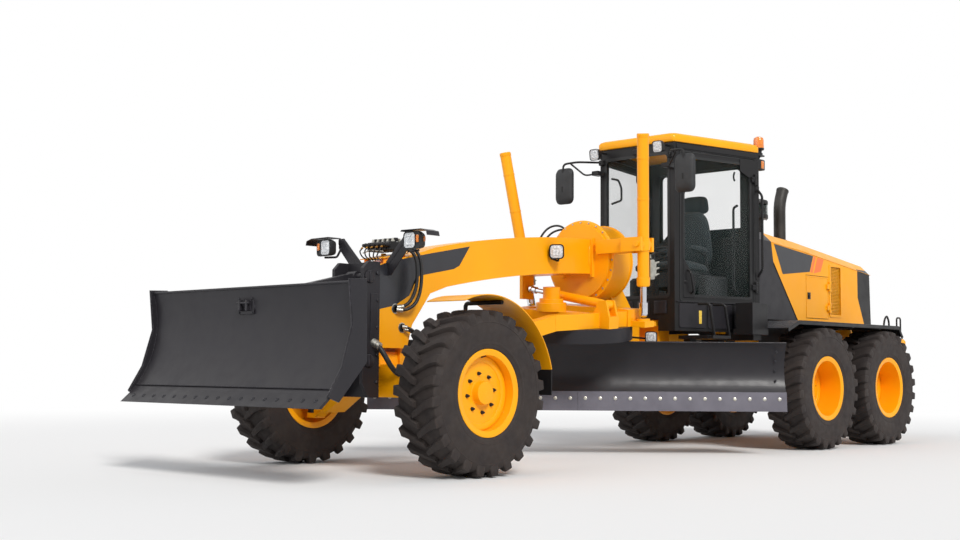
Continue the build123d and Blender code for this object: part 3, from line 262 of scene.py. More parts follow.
def grid(points, wrap_rows=False, wrap_columns=False):
    """Rows by columns of points; every four neighbours are a face, round to the first if wrapped."""
    points = np.asarray(points, float)
    rows, columns = points.shape[:2]
    row = np.arange(rows if wrap_rows else rows - 1)[:, None]
    column = np.arange(columns if wrap_columns else columns - 1)[None, :]
    after, beside = (row + 1) % rows, (column + 1) % columns
    corners = (row * columns + column, row * columns + beside, after * columns + beside, after * columns + column)
    return points.reshape(-1, 3), np.stack(np.broadcast_arrays(*corners), -1).reshape(-1, 4)


def joined(*shapes):
    """Several shapes as one: the points one after another, the faces counted on."""
    starts = np.cumsum([0] + [len(points) for points, _ in shapes[:-1]])
    return (
        np.concatenate([points for points, _ in shapes]),
        np.concatenate([faces + start for (_, faces), start in zip(shapes, starts)]),
    )


def unit(vectors):
    """Vectors over their own length."""
    vectors = np.asarray(vectors, float)
    return vectors / np.linalg.norm(vectors, axis=-1, keepdims=True)


def copies(shape, origins, along, up=(0, 0, 1)):
    """A template at each origin: origin + x * side + y * up + z * along, with side square to both."""
    points, faces = shape
    origins = np.atleast_2d(np.asarray(origins, float))
    z = unit(np.broadcast_to(np.asarray(along, float), origins.shape))
    x = unit(np.cross(np.broadcast_to(np.asarray(up, float), origins.shape), z))
    axes = np.stack([x, np.cross(z, x), z], 1)
    count = len(points) * np.arange(len(origins))[:, None, None]
    points = origins[:, None] + np.einsum("pk,nkj->npj", points, axes)
    return points.reshape(-1, 3), (faces[None] + count).reshape(-1, 4)


def mirrored(shape):
    """A shape and its copy with y reversed."""
    points, faces = shape
    return joined(shape, (points * (1, -1, 1), faces[:, ::-1]))


def turned(outline, around=32):
    """An outline of (along, radius) goes round +Z: x and y are radius times cosine and sine."""
    outline = np.asarray(outline, float)
    angle = np.linspace(0, 2 * np.pi, around, endpoint=False)
    along, radius = outline[:, :1], outline[:, 1:]
    rings = [radius * np.cos(angle), radius * np.sin(angle), np.repeat(along, around, 1)]
    return grid(np.stack(rings, -1), wrap_columns=True)


def rounded(width, height, radius, steps=3):
    """A rectangle with round corners: four quarter circles about the corners of a smaller one."""
    angle = np.linspace(0, np.pi / 2, steps + 1) + np.arange(4)[:, None] * np.pi / 2
    corner = np.array([(1, 1), (-1, 1), (-1, -1), (1, -1)])[:, None]
    middle = corner * (width / 2 - radius, height / 2 - radius)
    return (middle + radius * np.stack([np.cos(angle), np.sin(angle)], -1)).reshape(-1, 2)


def circle(radius, around=12):
    """Points round a circle."""
    angle = np.linspace(0, 2 * np.pi, around, endpoint=False)
    return radius * np.stack([np.cos(angle), np.sin(angle)], -1)


def drawn_in(outline, depth):
    """An outline moved inwards: each corner goes by the sum of its two sides' normals."""
    edge = unit(np.roll(outline, -1, 0) - outline)
    normal = np.stack([-edge[:, 1], edge[:, 0]], -1)
    before = np.roll(normal, 1, 0)
    share = 1 + (normal * before).sum(1, keepdims=True)
    area = (outline[:, 0] * np.roll(outline[:, 1], -1) - outline[:, 1] * np.roll(outline[:, 0], -1)).sum()
    return outline + np.sign(area) * depth * (normal + before) / np.maximum(share, 0.3)


def capped(rings):
    """Rings of points one after another as a closed skin, its ends drawn to their own middles."""
    rings = np.asarray(rings, float)
    ends = [np.broadcast_to(rings[i].mean(0), rings[0].shape) for i in (0, -1)]
    return grid(np.stack([ends[0], *rings, ends[1]]), wrap_columns=True)


def lifted(rings, heights, flat="xy"):
    """Outlines in a plane, each at its height over that plane."""
    rings = np.asarray(rings, float)
    height = np.broadcast_to(np.asarray(heights, float)[:, None, None], (*rings.shape[:2], 1))
    order = {"xy": (0, 1, 2), "xz": (0, 2, 1), "yz": (2, 0, 1)}[flat]
    return np.concatenate([rings, height], -1)[..., order]


def lofted(rings, heights, flat="xy"):
    """Outlines one above another as one closed body."""
    return capped(lifted(rings, heights, flat))


def slab(outline, low, high, bevel=0.004, flat="xy"):
    """An outline carried from low to high, drawn in by the bevel at both ends."""
    outline = np.asarray(outline, float)
    inner = drawn_in(outline, bevel)
    return lofted([inner, outline, outline, inner], (low, low + bevel, high - bevel, high), flat)


def framed(outline, inside, low, high, flat="xy"):
    """A flat ring between two outlines of the same count, with its four faces."""
    rings = lifted([outline, outline, inside, inside], (low, high, high, low), flat)
    return grid(rings, wrap_rows=True, wrap_columns=True)


def block(low, high, bevel=0.005):
    """A box with round upright edges and bevelled ends, between two corners."""
    low, high = np.minimum(low, high), np.maximum(low, high)
    size = high - low
    outline = rounded(size[0], size[1], min(bevel * 1.5, size[:2].min() * 0.49), 2)
    return slab(outline + (low + high)[:2] / 2, low[2], high[2], min(bevel, size[2] * 0.4))


def swept(path, section, up=(0, 0, 1)):
    """A section of (side, up) points stands square to a path at each of its points, ends closed."""
    path = np.asarray(path, float)
    tangent = unit(np.gradient(path, axis=0))
    side = unit(np.cross(tangent, np.asarray(up, float)))
    top = np.cross(side, tangent)
    return capped(path[:, None] + side[:, None] * section[None, :, :1] + top[:, None] * section[None, :, 1:])


def eased(points, steps=8):
    """A Catmull-Rom curve through points: each span blends its two ends and their neighbours' slopes."""
    points = np.asarray(points, float)
    whole = np.concatenate([2 * points[:1] - points[1:2], points, 2 * points[-1:] - points[-2:-1]])
    a, b, c, d = whole[:-3, None], whole[1:-2, None], whole[2:-1, None], whole[3:, None]
    t = np.linspace(0, 1, steps, endpoint=False)[None, :, None]
    curve = 0.5 * (2 * b + (c - a) * t + (2 * a - 5 * b + 4 * c - d) * t**2 + (3 * b - a - 3 * c + d) * t**3)
    return np.concatenate([curve.reshape(-1, 3), points[-1:]])


def bent(points, radius, steps=5):
    """A line with round corners: at each corner a parabola between points a radius along both sides."""
    points = np.asarray(points, float)
    before, corner, after = points[:-2], points[1:-1], points[2:]
    start = (corner + radius * unit(before - corner))[:, None]
    end = (corner + radius * unit(after - corner))[:, None]
    t = np.linspace(0, 1, steps)[None, :, None]
    arcs = (1 - t) ** 2 * start + 2 * t * (1 - t) * corner[:, None] + t**2 * end
    return np.concatenate([points[:1], arcs.reshape(-1, 3), points[-1:]])


def pipe(points, radius, bend=None, around=10, up=(0.13, 0.21, 0.97)):
    """A round tube along points: bent sharply with a bend radius, or eased through them without."""
    path = eased(points) if bend is None else bent(points, bend)
    return swept(path, circle(radius, around), up)


def arm(points, radius, bend=0.03):
    """A bent steel tube."""
    return pipe(points, radius, bend)


def moved(shape, offset):
    """A shape at another place."""
    return shape[0] + offset, shape[1]


def sided(shape, side):
    """A shape of the left side for one side: as it is, or with y reversed."""
    return (shape[0] * (1, side, 1), shape[1][:, ::side])


def piece(name, shape, material, body, smooth=35):
    """Put a shape, or a list of them, in one mesh, close its seams, and let it ride on a body."""
    points, faces = joined(*shape) if isinstance(shape, list) else shape
    mesh = bpy.data.meshes.new(name)
    mesh.from_pydata(points.tolist(), [], faces.tolist())
    shell = bmesh.new()
    shell.from_mesh(mesh)
    bmesh.ops.remove_doubles(shell, verts=shell.verts, dist=1e-5)
    bmesh.ops.recalc_face_normals(shell, faces=shell.faces)
    shell.to_mesh(mesh)
    shell.free()
    mesh.shade_smooth()
    mesh.set_sharp_from_angle(angle=np.radians(smooth))
    mesh.materials.append(material)
    made = bpy.data.objects.new(name, mesh)
    bpy.context.scene.collection.objects.link(made)
    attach(made, body)
    return made


# A hexagon screw head on its washer, for a shank radius of 1: scaled where it is used
bolt_head = turned([(0, 0), (0, 1.9), (0.2, 1.9), (0.25, 1.55), (1.15, 1.55), (1.3, 1.3), (1.3, 0)], 6)


def bolts(origins, along, radius, up=(0, 0, 1)):
    """Screw heads at origins, standing along a direction."""
    return copies((bolt_head[0] * radius, bolt_head[1]), origins, along, up)


def lamp_body(width, height, depth):
    """A lamp's case behind its face: round rectangles that shrink to the back as a bowl does, and
    a rim that turns in at the front."""
    share = np.array([0.55, 0.82, 0.95, 1.0, 1.0, 0.93, 0.90])
    heights = np.array([-1.0, -0.85, -0.5, -0.2, 0.0, 0.0, -0.10]) * depth
    return lofted(rounded(width, height, min(width, height) * 0.24, 5) * share[:, None, None], heights)


def lamp_face(width, height, depth):
    """A pressed lens: a low crown with a ring standing up round its middle, height falling as the
    square of the distance out and rising by a bell curve at 0.6 of the way."""
    share = np.linspace(1, 0.04, 12)
    heights = -0.08 * depth + 0.004 * (1 - share**2) + 0.005 * np.exp(-(((share - 0.6) / 0.07) ** 2))
    rings = rounded(width * 0.9, height * 0.9, min(width, height) * 0.2, 7) * share[:, None, None]
    return lofted(np.concatenate([rings[:1], rings]), np.concatenate([[-0.12 * depth], heights]))


def box_outline(left, right, low, high, radius=0.01, steps=3):
    """A rectangle with round corners between its sides."""
    return rounded(right - left, high - low, radius, steps) + ((left + right) / 2, (low + high) / 2)


# Wheels: a carcass with V lugs, and nuts, cap and valve on the rim

lug_count = 24
nut_count, nut_circle, first_nut = 8, 0.158, 0.14
wheels = [  # name, body, x, side, where the disc stands along the axle
    (f"{row}_{name}", f"{row}_wheel_{name}", x, side, inset)
    for row, x, inset in (("front", front_axle_x, 0.095), ("tandem", -2.435, -0.075), ("rear", -3.925, -0.075))
    for name, side in sides
]
half_carcass = np.array(  # along the axle and radius, from the bead to the crown
    [(0.1867, 0.3183), (0.1867, 0.3556), (0.2004, 0.3597), (0.2075, 0.3720), (0.2120, 0.3920),
     (0.2150, 0.3940), (0.2165, 0.4100), (0.2145, 0.4140), (0.2190, 0.4500), (0.2215, 0.5000),
     (0.2212, 0.5400), (0.2185, 0.5660), (0.2215, 0.5700), (0.2185, 0.5780), (0.2100, 0.6040),
     (0.1950, 0.6240), (0.1600, 0.6340), (0.1000, 0.6390), (0.0400, 0.6410)]
)
lug_line = np.array(  # along the axle and radius at the top, the same at the foot, turn, half width
    [(-0.016, 0.6735, -0.020, 0.636, 0.000, 0.020), (0.020, 0.6738, 0.020, 0.636, 0.030, 0.027),
     (0.070, 0.6735, 0.070, 0.636, 0.075, 0.029), (0.120, 0.6725, 0.120, 0.632, 0.118, 0.031),
     (0.160, 0.6710, 0.160, 0.628, 0.146, 0.034), (0.192, 0.6680, 0.188, 0.620, 0.160, 0.038),
     (0.216, 0.6610, 0.204, 0.606, 0.166, 0.040), (0.2222, 0.640, 0.212, 0.592, 0.167, 0.039),
     (0.2224, 0.606, 0.2165, 0.572, 0.168, 0.036), (0.2205, 0.590, 0.2170, 0.571, 0.168, 0.034)]
)


def tyre():
    """Lugs: at each station of the lug line a section stands between foot and top, and turns about
    the axle; the second row is half a pitch on and faces the other way."""
    a_top, r_top, a_foot, r_foot, turn, half = lug_line.T[..., None]
    # Section: foot, shoulder, top edge, top edge, shoulder, foot
    rise = np.array([-0.25, 0.86, 1.0, 1.0, 0.86, -0.25])
    width = np.array([-1.45, -1.0, -0.86, 0.86, 1.0, 1.45])
    along = a_foot + (a_top - a_foot) * rise
    radius = r_foot + (r_top - r_foot) * rise
    angle = turn + width * half / hub_z
    lugs = []
    for way, shift in ((1, 0.0), (-1, 0.5)):
        for number in range(lug_count):
            around = angle + (number + shift) * 2 * np.pi / lug_count
            lugs.append(capped(np.stack([radius * np.cos(around), radius * np.sin(around), way * along], -1)))
    outline = np.concatenate([half_carcass, half_carcass[::-1] * (-1, 1)])
    return joined(turned(np.concatenate([outline, outline[:1]]), 96), *lugs)


nut = turned([(0, 0), (0, 0.018), (0.004, 0.0155), (0.016, 0.0145), (0.018, 0.008), (0.030, 0.0075),
              (0.031, 0)], 6)
for name, body, x, side, inset in wheels:
    hub = np.array([x, side * wheel_y, hub_z])
    outwards = np.array([0.0, side, 0.0])
    # The V's shoulder ends lead at the top of the wheel, as on the real pattern
    points, faces = tyre()
    tread = copies((points * (-side, 1, 1), faces), hub, outwards)
    made = piece(f"tread_{name}", tread, tyre_rubber, body, 30)
    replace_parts(made, f"tyre_{name}")
    face = inset + 0.008
    cap = [(-0.002, 0), (-0.002, 0.106), (0.004, 0.104), (0.006, 0.094), (0.030, 0.086), (0.046, 0.066),
           (0.052, 0.040), (0.053, 0.018), (0.060, 0.016), (0.061, 0)]
    pressing = [(-0.004, 0.302), (0.010, 0.296), (0.012, 0.262), (0.004, 0.246), (-0.004, 0.244)]
    lock_ring = [(0.184, 0.336), (0.192, 0.352), (0.199, 0.354), (0.1995, 0.346), (0.192, 0.330), (0.184, 0.328)]
    dressing = [turned(np.array(cap) + (face, 0), 40), turned(np.array(pressing) + (face, 0), 64),
                turned(lock_ring, 72)]
    piece(f"wheel_dressing_{name}", [copies(part, hub, outwards) for part in dressing], yellow_enamel,
          body)
    turn = np.linspace(0, 2 * np.pi, nut_count, endpoint=False) + first_nut
    ring = np.stack([nut_circle * np.cos(turn), nut_circle * np.sin(turn), np.full(nut_count, face)], -1)
    centres = copies((ring, np.zeros((1, 4), int)), hub, outwards)[0]
    piece(f"wheel_nuts_{name}", copies(nut, centres, outwards), oxide_bolt, body, 30)
    valve = pipe([(0, 0.286, face - 0.01), (0, 0.290, face + 0.03), (0, 0.300, face + 0.06)], 0.006)
    piece(f"tyre_valve_{name}", copies(valve, hub, outwards), hose_rubber, body)


# Cab: the slanted side is a line from the rear corner, along it forwards and out from it

cab_rear, cab_half = -1.86, 0.765
wall_way = unit((1.25, 0.272))
door_start, door_end, door_low, door_high = 0.07, 1.2093, 1.596, 3.204
door_gap, door_rim = 0.006, 0.06
beacon_spot = np.array([-1.97, 0.70, 3.285])


def on_wall(side, along, out, z):
    """A point of the cab's side: forwards along the wall, out from it, and up."""
    along, out, z = np.broadcast_arrays(along, out, z)
    x = cab_rear + along * wall_way[0] + out * wall_way[1]
    y = cab_half - along * wall_way[1] + out * wall_way[0]
    return np.stack([x, side * y, z], -1)


def laid(side, shape):
    """A shape of (along, z, out) laid on the cab's side."""
    points, faces = shape
    return on_wall(side, points[:, 0], points[:, 2], points[:, 1]), faces


def wall_slab(side, outline, low, high, bevel=0.004):
    """An outline of (along, z) between two distances out of the cab's side."""
    return laid(side, slab(outline, low, high, bevel))


def wall_frame(side, bounds, outer, inner, low, high):
    """A seal on the cab's side, from outside to inside of (left, right, low, high) by two margins."""
    grow = np.array([-1, 1, -1, 1])
    outline, inside = (box_outline(*bounds + grow * margin, radius, 5)
                       for margin, radius in ((outer, 0.03), (-inner, 0.02)))
    return laid(side, framed(outline, inside, low, high))


mirror_cases, mirror_panes, roof_lenses, wall_bits = [], [], [], []
for name, side in sides:
    door = f"cab_door_{name}"
    leaf = np.array([door_start + door_gap, door_end - door_gap, door_low, door_high])
    window = leaf + door_rim * np.array([1, -1, 1, -1])
    # Rubber round the pane, and the leaf's pressed edge
    seal = wall_frame(side, window, 0.012, 0.012, -0.020, 0.001)
    lip = wall_frame(side, leaf, 0.0, 0.012, -0.010, 0.002)
    piece(f"door_seal_{name}", [seal, lip], hose_rubber, door)
    # Corner panel below the pane's front edge, with the outside handle's bow on it
    corner = [(window[1] + 0.01, 1.63), (window[1] + 0.01, 2.06), (0.985, 1.86), (0.985, 1.63)]
    out_way = on_wall(side, 0, 1, 0) - on_wall(side, 0, 0, 0)
    lock = turned([(0, 0), (0, 0.018), (0.010, 0.018), (0.014, 0.012), (0.014, 0)], 20)
    handle = [
        wall_slab(side, corner, -0.024, 0.004, 0.006),
        arm(on_wall(side, [1.09, 1.09, 1.045, 1.045], [0.0, 0.045, 0.045, 0.0], [1.93, 1.91, 1.70, 1.68]), 0.011),
        copies(lock, on_wall(side, 1.125, 0.003, 1.80), out_way),
        arm(on_wall(side, 0.30, [-0.040, -0.10, -0.10, -0.040], [1.72, 1.74, 2.66, 2.68]), 0.014),
        arm(on_wall(side, 0.34, [-0.038, -0.06, -0.038], [2.95, 3.0, 3.05]), 0.010),
    ]
    piece(f"door_handle_{name}", handle, black_enamel, door)
    screws = on_wall(side, [door_start + 0.02, door_start + 0.045] * 4, 0.021,
                     np.repeat([1.765, 1.795, 2.965, 2.995], 2))
    piece(f"door_screws_{name}", bolts(screws, out_way, 0.0045), oxide_bolt, door, 30)

    wall_bits += [
        # Grab rail outside at the back, on its two feet
        arm(on_wall(side, 0.03, [0.001, 0.075, 0.075, 0.001], [2.88, 2.80, 1.98, 1.90]), 0.014),
        *[wall_slab(side, box_outline(0.0, 0.06, z - 0.035, z + 0.035), -0.001, 0.008) for z in (2.88, 1.90)],
        # Header band over the door with its pressed line, and the gusset over the rear post
        wall_slab(side, box_outline(0.03, 1.25, 3.222, 3.278), -0.002, 0.010, 0.006),
        wall_slab(side, [(0.01, 3.20), (0.01, 2.93), (0.30, 3.06), (0.30, 3.20)], -0.002, 0.006),
    ]
    # Mirror: two tubes from the roof's brackets, a drop tube, and a clamp behind the head
    y = side * 0.80
    clamp = turned([(-0.035, 0.012), (-0.03, 0.022), (0.03, 0.022), (0.035, 0.012), (-0.035, 0.012)], 16)
    wall_bits += [
        arm([(-0.59, side * 0.46, 3.155), (-0.36, side * 0.62, 3.15), (-0.33, y, 3.14), (-0.33, y, 2.78)],
            0.012, 0.05),
        arm([(-0.50, side * 0.49, 3.02), (-0.42, side * 0.56, 3.00), (-0.345, side * 0.70, 3.135)], 0.010, 0.04),
        block((-0.59, side * 0.42, 3.00), (-0.47, side * 0.51, 3.05), 0.006),
        block((-0.609, side * 0.43, 3.12), (-0.57, side * 0.49, 3.18), 0.006),
        moved(clamp, (-0.33, y, 2.86)),
    ]
    mirror_middle = (0.80, 2.895)
    head = np.array([0.30, 0.72, 0.90, 1.0, 1.0, 0.965])[:, None, None] * rounded(0.235, 0.400, 0.060, 6)
    case = lofted(head + mirror_middle, (-0.312, -0.318, -0.330, -0.352, -0.372, -0.380), "yz")
    mirror_cases.append(sided(case, side))
    pane = slab(rounded(0.22, 0.385, 0.055, 6) + mirror_middle, -0.3785, -0.3765, 0.0008, "yz")
    mirror_panes.append(sided(pane, side))
    # Roof lamp on its bracket, facing forwards
    spot, lamp_way = np.array([-0.40, side * 0.42, 3.215]), (1, 0, -0.12)
    wall_bits += [
        copies(lamp_body(0.125, 0.125, 0.085), spot, lamp_way),
        arm([(-0.60, side * 0.42, 3.25), (-0.52, side * 0.42, 3.255), (-0.46, side * 0.42, 3.225)], 0.012, 0.02),
        # Turn-signal box on the rear wall
        block((-2.01, side * 0.68, 3.11), (-1.8615, side * 0.76, 3.23), 0.008),
    ]
    roof_lenses.append(copies(lamp_face(0.125, 0.125, 0.085), spot, lamp_way))

foot = turned([(0, 0), (0, 0.046), (0.02, 0.046), (0.026, 0.036), (0.05, 0.036), (0.06, 0.060), (0.078, 0.063),
               (0.080, 0)], 28)
wall_bits += [
    moved(foot, beacon_spot),
    block((-2.02, 0.65, 3.268), (-1.8615, 0.75, 3.285), 0.004),
    arm([(-1.865, 0.70, 3.24), (-1.93, 0.70, 3.20), (-1.99, 0.70, 3.268)], 0.010, 0.02),
]
made = piece("cab_rails_and_brackets", wall_bits, black_enamel, "rear_frame")
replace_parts(made, "cab_fittings")
piece("mirror_cases", mirror_cases, cab_plastic, "rear_frame")
piece("mirror_panes", mirror_panes, mirror_glass, "rear_frame")
piece("roof_lamp_lenses", roof_lenses, clear_lens, "rear_frame")
dome = turned([(0.078, 0), (0.078, 0.058), (0.09, 0.060), (0.17, 0.058), (0.195, 0.052), (0.209, 0.032),
               (0.214, 0)], 32)
piece("beacon_dome", moved(dome, beacon_spot), amber_lens, "rear_frame")
signal = lamp_face(0.07, 0.10, 0.03)
signals = [copies(signal, (x, side * y, 3.17), (way, side * out, 0))
           for _, side in sides for x, y, way, out in ((-2.008, 0.72, -1, 0), (-1.955, 0.762, 0, 1))]
piece("signal_lenses", signals, amber_lens, "rear_frame")

# Windows' seals, wiper with its motor, and the ribbed skirt under the cab
front_seal = framed(box_outline(-0.435, 0.435, 1.628, 3.192, 0.05, 6), box_outline(-0.405, 0.405, 1.66, 3.16, 0.04, 6),
                    0, 0.010, "yz")
rear_seal = framed(box_outline(-0.562, 0.562, 2.338, 3.162, 0.06, 6), box_outline(-0.53, 0.53, 2.37, 3.13, 0.05, 6),
                   0, 0.010, "yz")
window_seals = [moved(front_seal, (-0.616, 0, 0)), moved(rear_seal, (-1.862, 0, 0))]
piece("window_seals", window_seals, hose_rubber, "rear_frame")
wiper = [
    arm([(-0.606, 0.02, 3.21), (-0.575, 0.02, 3.205), (-0.585, 0.14, 2.82), (-0.600, 0.19, 2.66)], 0.006, 0.02),
    arm([(-0.606, 0.25, 2.92), (-0.600, 0.22, 2.72), (-0.600, 0.15, 2.30)], 0.005, 0.02),
    block((-0.609, -0.03, 3.185), (-0.560, 0.07, 3.25), 0.012),
]
piece("wiper", wiper, black_enamel, "rear_frame")
skirt = [block((-0.6105, y, 1.46), (-0.598, y + 0.16, 1.60), 0.006) for y in (-0.43, -0.21, 0.01, 0.23)]
bars = []
for _, side in sides:
    skirt += [wall_slab(side, box_outline(a, b, 1.31, 1.575, 0.02), -0.002, 0.012, 0.006)
              for a, b in ((0.05, 0.40), (0.44, 0.80), (0.84, 1.22))]
    skirt.append(wall_slab(side, box_outline(0.02, 1.26, 1.583, 1.594, 0.004), -0.002, 0.018, 0.004))
    bars.append(wall_slab(side, box_outline(0.90, 0.94, 1.36, 1.50, 0.004), 0.011, 0.0135, 0.0008))
piece("cab_skirt_panels", skirt, charcoal_enamel, "rear_frame")
piece("skirt_reflectors", bars, reflector, "rear_frame")


# Seat: crowned pads, a superellipse in plan raised by a dome, with a sewn channel round each


def pad(width, length, thick, crown, channel=0.72):
    """A cushion: plan x, y as a superellipse of power 4, top and bottom domed as (1 - r^6)^0.5, and
    a sewn channel pressed in where r is near the channel's share."""
    angle = np.linspace(0, 2 * np.pi, 56, endpoint=False)
    edge = (np.abs(np.cos(angle)) ** 4 + np.abs(np.sin(angle)) ** 4) ** -0.25
    r = np.concatenate([np.linspace(0, 0.97, 15), [1.0]])[:, None]
    x, y = r * edge * np.cos(angle) * width / 2, r * edge * np.sin(angle) * length / 2
    dome = thick / 2 * (1 - r**6) ** 0.5 + crown * (1 - r**2) - 0.010 * np.exp(-(((r - channel) / 0.035) ** 2))
    over = np.stack([x, y, np.broadcast_to(dome, x.shape)], -1)
    under = over * (1, 1, -0.8)
    return grid(np.concatenate([over, under[-2::-1]]), wrap_columns=True)


def placed(shape, spot, tilt):
    """A shape turned forwards about the y axis by a tilt in degrees, and moved to its spot."""
    c, s = np.cos(np.radians(tilt)), np.sin(np.radians(tilt))
    x, y, z = shape[0].T
    return np.stack([c * x + s * z, y, c * z - s * x], -1) + spot, shape[1]


def spun(shape, angle):
    """A shape turned about Z."""
    c, s = np.cos(angle), np.sin(angle)
    x, y, z = shape[0].T
    return np.stack([x * c - y * s, x * s + y * c, z], -1), shape[1]


armrest = pad(0.30, 0.075, 0.06, 0.006, 2.0)
for name, shape, spot, tilt, fill in (
    ("seat_cushion", pad(0.52, 0.52, 0.13, 0.018), (-1.45, 0, 2.00), -4, 0.75),
    ("seat_back", pad(0.64, 0.51, 0.12, 0.016), (-1.665, 0, 2.345), 102, 0.75),
    ("seat_headrest", pad(0.21, 0.34, 0.10, 0.012), (-1.745, 0, 2.745), 102, 0.8),
    ("seat_armrest_left", armrest, (-1.44, 0.245, 2.21), -4, 0.85),
    ("seat_armrest_right", armrest, (-1.44, -0.245, 2.21), -4, 0.85),
):
    piece(name, placed(shape, spot, tilt), seat_cloth, "rear_frame", 60)

# Seat's bellows and frame, and the steering wheel: a torus with its boss and three spokes
folds = [(0.02 + 0.028 * i, 0.17 - 0.025 * (i % 2)) for i in range(11)]
bellows = turned([(0.0, 0), (0.0, 0.17), *folds, (0.33, 0.17), (0.33, 0)], 40)
wheel_turn = np.linspace(0, 2 * np.pi, 48, endpoint=False)[:, None]
section = circle(0.014, 10)
rim_radius = 0.185 + section[:, 0]
rim = np.stack([rim_radius * np.cos(wheel_turn), rim_radius * np.sin(wheel_turn),
                np.broadcast_to(section[:, 1], (48, 10))], -1)
boss = turned([(-0.02, 0), (-0.02, 0.04), (0.01, 0.045), (0.02, 0.03), (0.022, 0)], 24)
spokes = [arm([(0.03 * np.cos(a), 0.03 * np.sin(a), 0), (0.18 * np.cos(a), 0.18 * np.sin(a), 0)], 0.010)
          for a in (0.5, 2.64, 4.71)]
inside = [
    moved(bellows, (-1.45, 0, 1.435)),
    placed(joined(grid(rim, True, True), boss, *spokes), (-0.955, 0, 2.13), 30),
    arm([(-0.90, 0, 1.435), (-0.905, 0, 1.80), (-0.955, 0, 2.12)], 0.035, 0.1),
    block((-0.96, -0.055, 1.434), (-0.86, 0.055, 1.86), 0.02),
    block((-1.70, -0.25, 1.76), (-1.21, 0.25, 1.975), 0.03),
]
fitments = []
knob = turned([(0, 0), (0.002, 0.009), (0.02, 0.011), (0.028, 0.006), (0.03, 0)], 12)
for _, side in sides:
    y = side * 0.245
    inside += [
        arm([(-1.62, y, 1.97), (-1.58, y, 2.15), (-1.42, y, 2.185)], 0.016, 0.03),
        arm([(-1.70, side * 0.06, 2.61), (-1.71, side * 0.06, 2.655), (-1.725, side * 0.06, 2.71)], 0.008),
        block((-1.03, side * 0.10, 1.95), (-0.90, side * 0.24, 2.02), 0.015),
    ]
    # Control levers stand in a row on each side of the column
    for k in range(4):
        foot = np.array([-0.985, side * (0.115 + 0.032 * k), 2.02])
        inside.append(arm([foot, foot + (-0.01, 0, 0.05), foot + (-0.03, 0, 0.09)], 0.005, 0.01))
        inside.append(moved(knob, foot + (-0.03, 0, 0.085)))
    # Side consoles, and the grab loops behind the front posts
    y = side * 0.42
    loop = [(-0.70, side * 0.40, 2.98), (-0.83, side * 0.41, 2.98), (-0.90, y, 2.90), (-0.90, y, 2.76),
            (-0.70, side * 0.40, 2.70)]
    fitments += [block((-1.62, side * 0.40, 1.435), (-1.16, side * 0.52, 1.90), 0.03), arm(loop, 0.012, 0.03)]
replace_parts(piece("cab_controls", inside, cab_plastic, "rear_frame"), "cab_interior")
piece("cab_consoles_and_loops", fitments, cab_plastic, "rear_frame")

# Roof: a crowned pressing with a soft lip over the frame
roof_plan = np.array([(-0.58, 0.507), (-0.58, -0.507), (-1.885, -0.78), (-1.885, 0.78)])
roof_rings = []
for inset, radius in ((0.004, 0.05), (0.0, 0.05), (0.0, 0.05), (0.012, 0.06), (0.035, 0.08), (0.09, 0.12),
                      (0.30, 0.2)):
    corners = drawn_in(roof_plan, inset + radius)
    ring = []
    for k in range(4):
        a, b = unit(corners[k] - corners[k - 1]), unit(corners[(k + 1) % 4] - corners[k])
        start, stop = np.arctan2(a[0], -a[1]), np.arctan2(b[0], -b[1])
        turn = np.linspace(start, start + (stop - start + np.pi) % (2 * np.pi) - np.pi, 7)
        ring.append(corners[k] + radius * np.stack([np.cos(turn), np.sin(turn)], -1))
    roof_rings.append(np.concatenate(ring))
roof = lofted(roof_rings, (3.292, 3.300, 3.352, 3.374, 3.386, 3.396, 3.400))
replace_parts(piece("roof_pressing", roof, yellow_enamel, "rear_frame", 40), "cab_roof")


# Hood: films, framed vent, latches, lamps and the mesh behind the rear grille


def in_plane(line, height, column=1):
    """Points of (x, z) at a distance y, or of (y, z) at a distance x with column 0."""
    return np.insert(np.asarray(line, float), column, height, axis=1)


for name, outline, film in (
    ("hood_dark_film", [(-2.452, 2.326), (-3.362, 2.243), (-3.275, 2.048), (-2.645, 1.985)], black_film),
    ("hood_orange_stripe", [(-3.376, 2.242), (-3.428, 2.237), (-3.342, 2.040), (-3.289, 2.047)], orange_film),
    ("hood_orange_flag", [(-3.462, 2.233), (-3.620, 2.216), (-3.540, 2.066), (-3.372, 2.036)], orange_film),
):
    cut = slab(outline, hood_y, hood_y + 0.0012, 0.0004, "xz")
    piece(name, mirrored(cut), film, "rear_frame")

wire = circle(0.0035, 6)
vent = [swept([(x, 0.586, z) for z in (1.542, 1.85, 2.148)], wire, (0, 1, 0)) for x in np.linspace(-4.03, -3.78, 15)]
vent += [swept([(x, 0.590, z) for x in (-4.038, -3.9, -3.772)], wire) for z in np.linspace(1.55, 2.14, 34)]
vent_frame = framed(box_outline(-4.062, -3.748, 1.518, 2.172, 0.035, 5),
                    box_outline(-4.030, -3.780, 1.550, 2.140, 0.020, 5), 0.5995, 0.606, "xz")
# A black sheet just behind the vent mesh: painted shade that stands in for the dark inside of the hood
vent_painted_shade_sheet = block((-4.05, 0.5715, 1.53), (-3.76, 0.578, 2.16), 0.002)
piece("vent_mesh", mirrored(joined(*vent)), yellow_enamel, "rear_frame", 60)
piece("vent_frames", mirrored(vent_frame), yellow_enamel, "rear_frame")
piece("vent_painted_shade_sheet", mirrored(vent_painted_shade_sheet), black_enamel, "rear_frame")

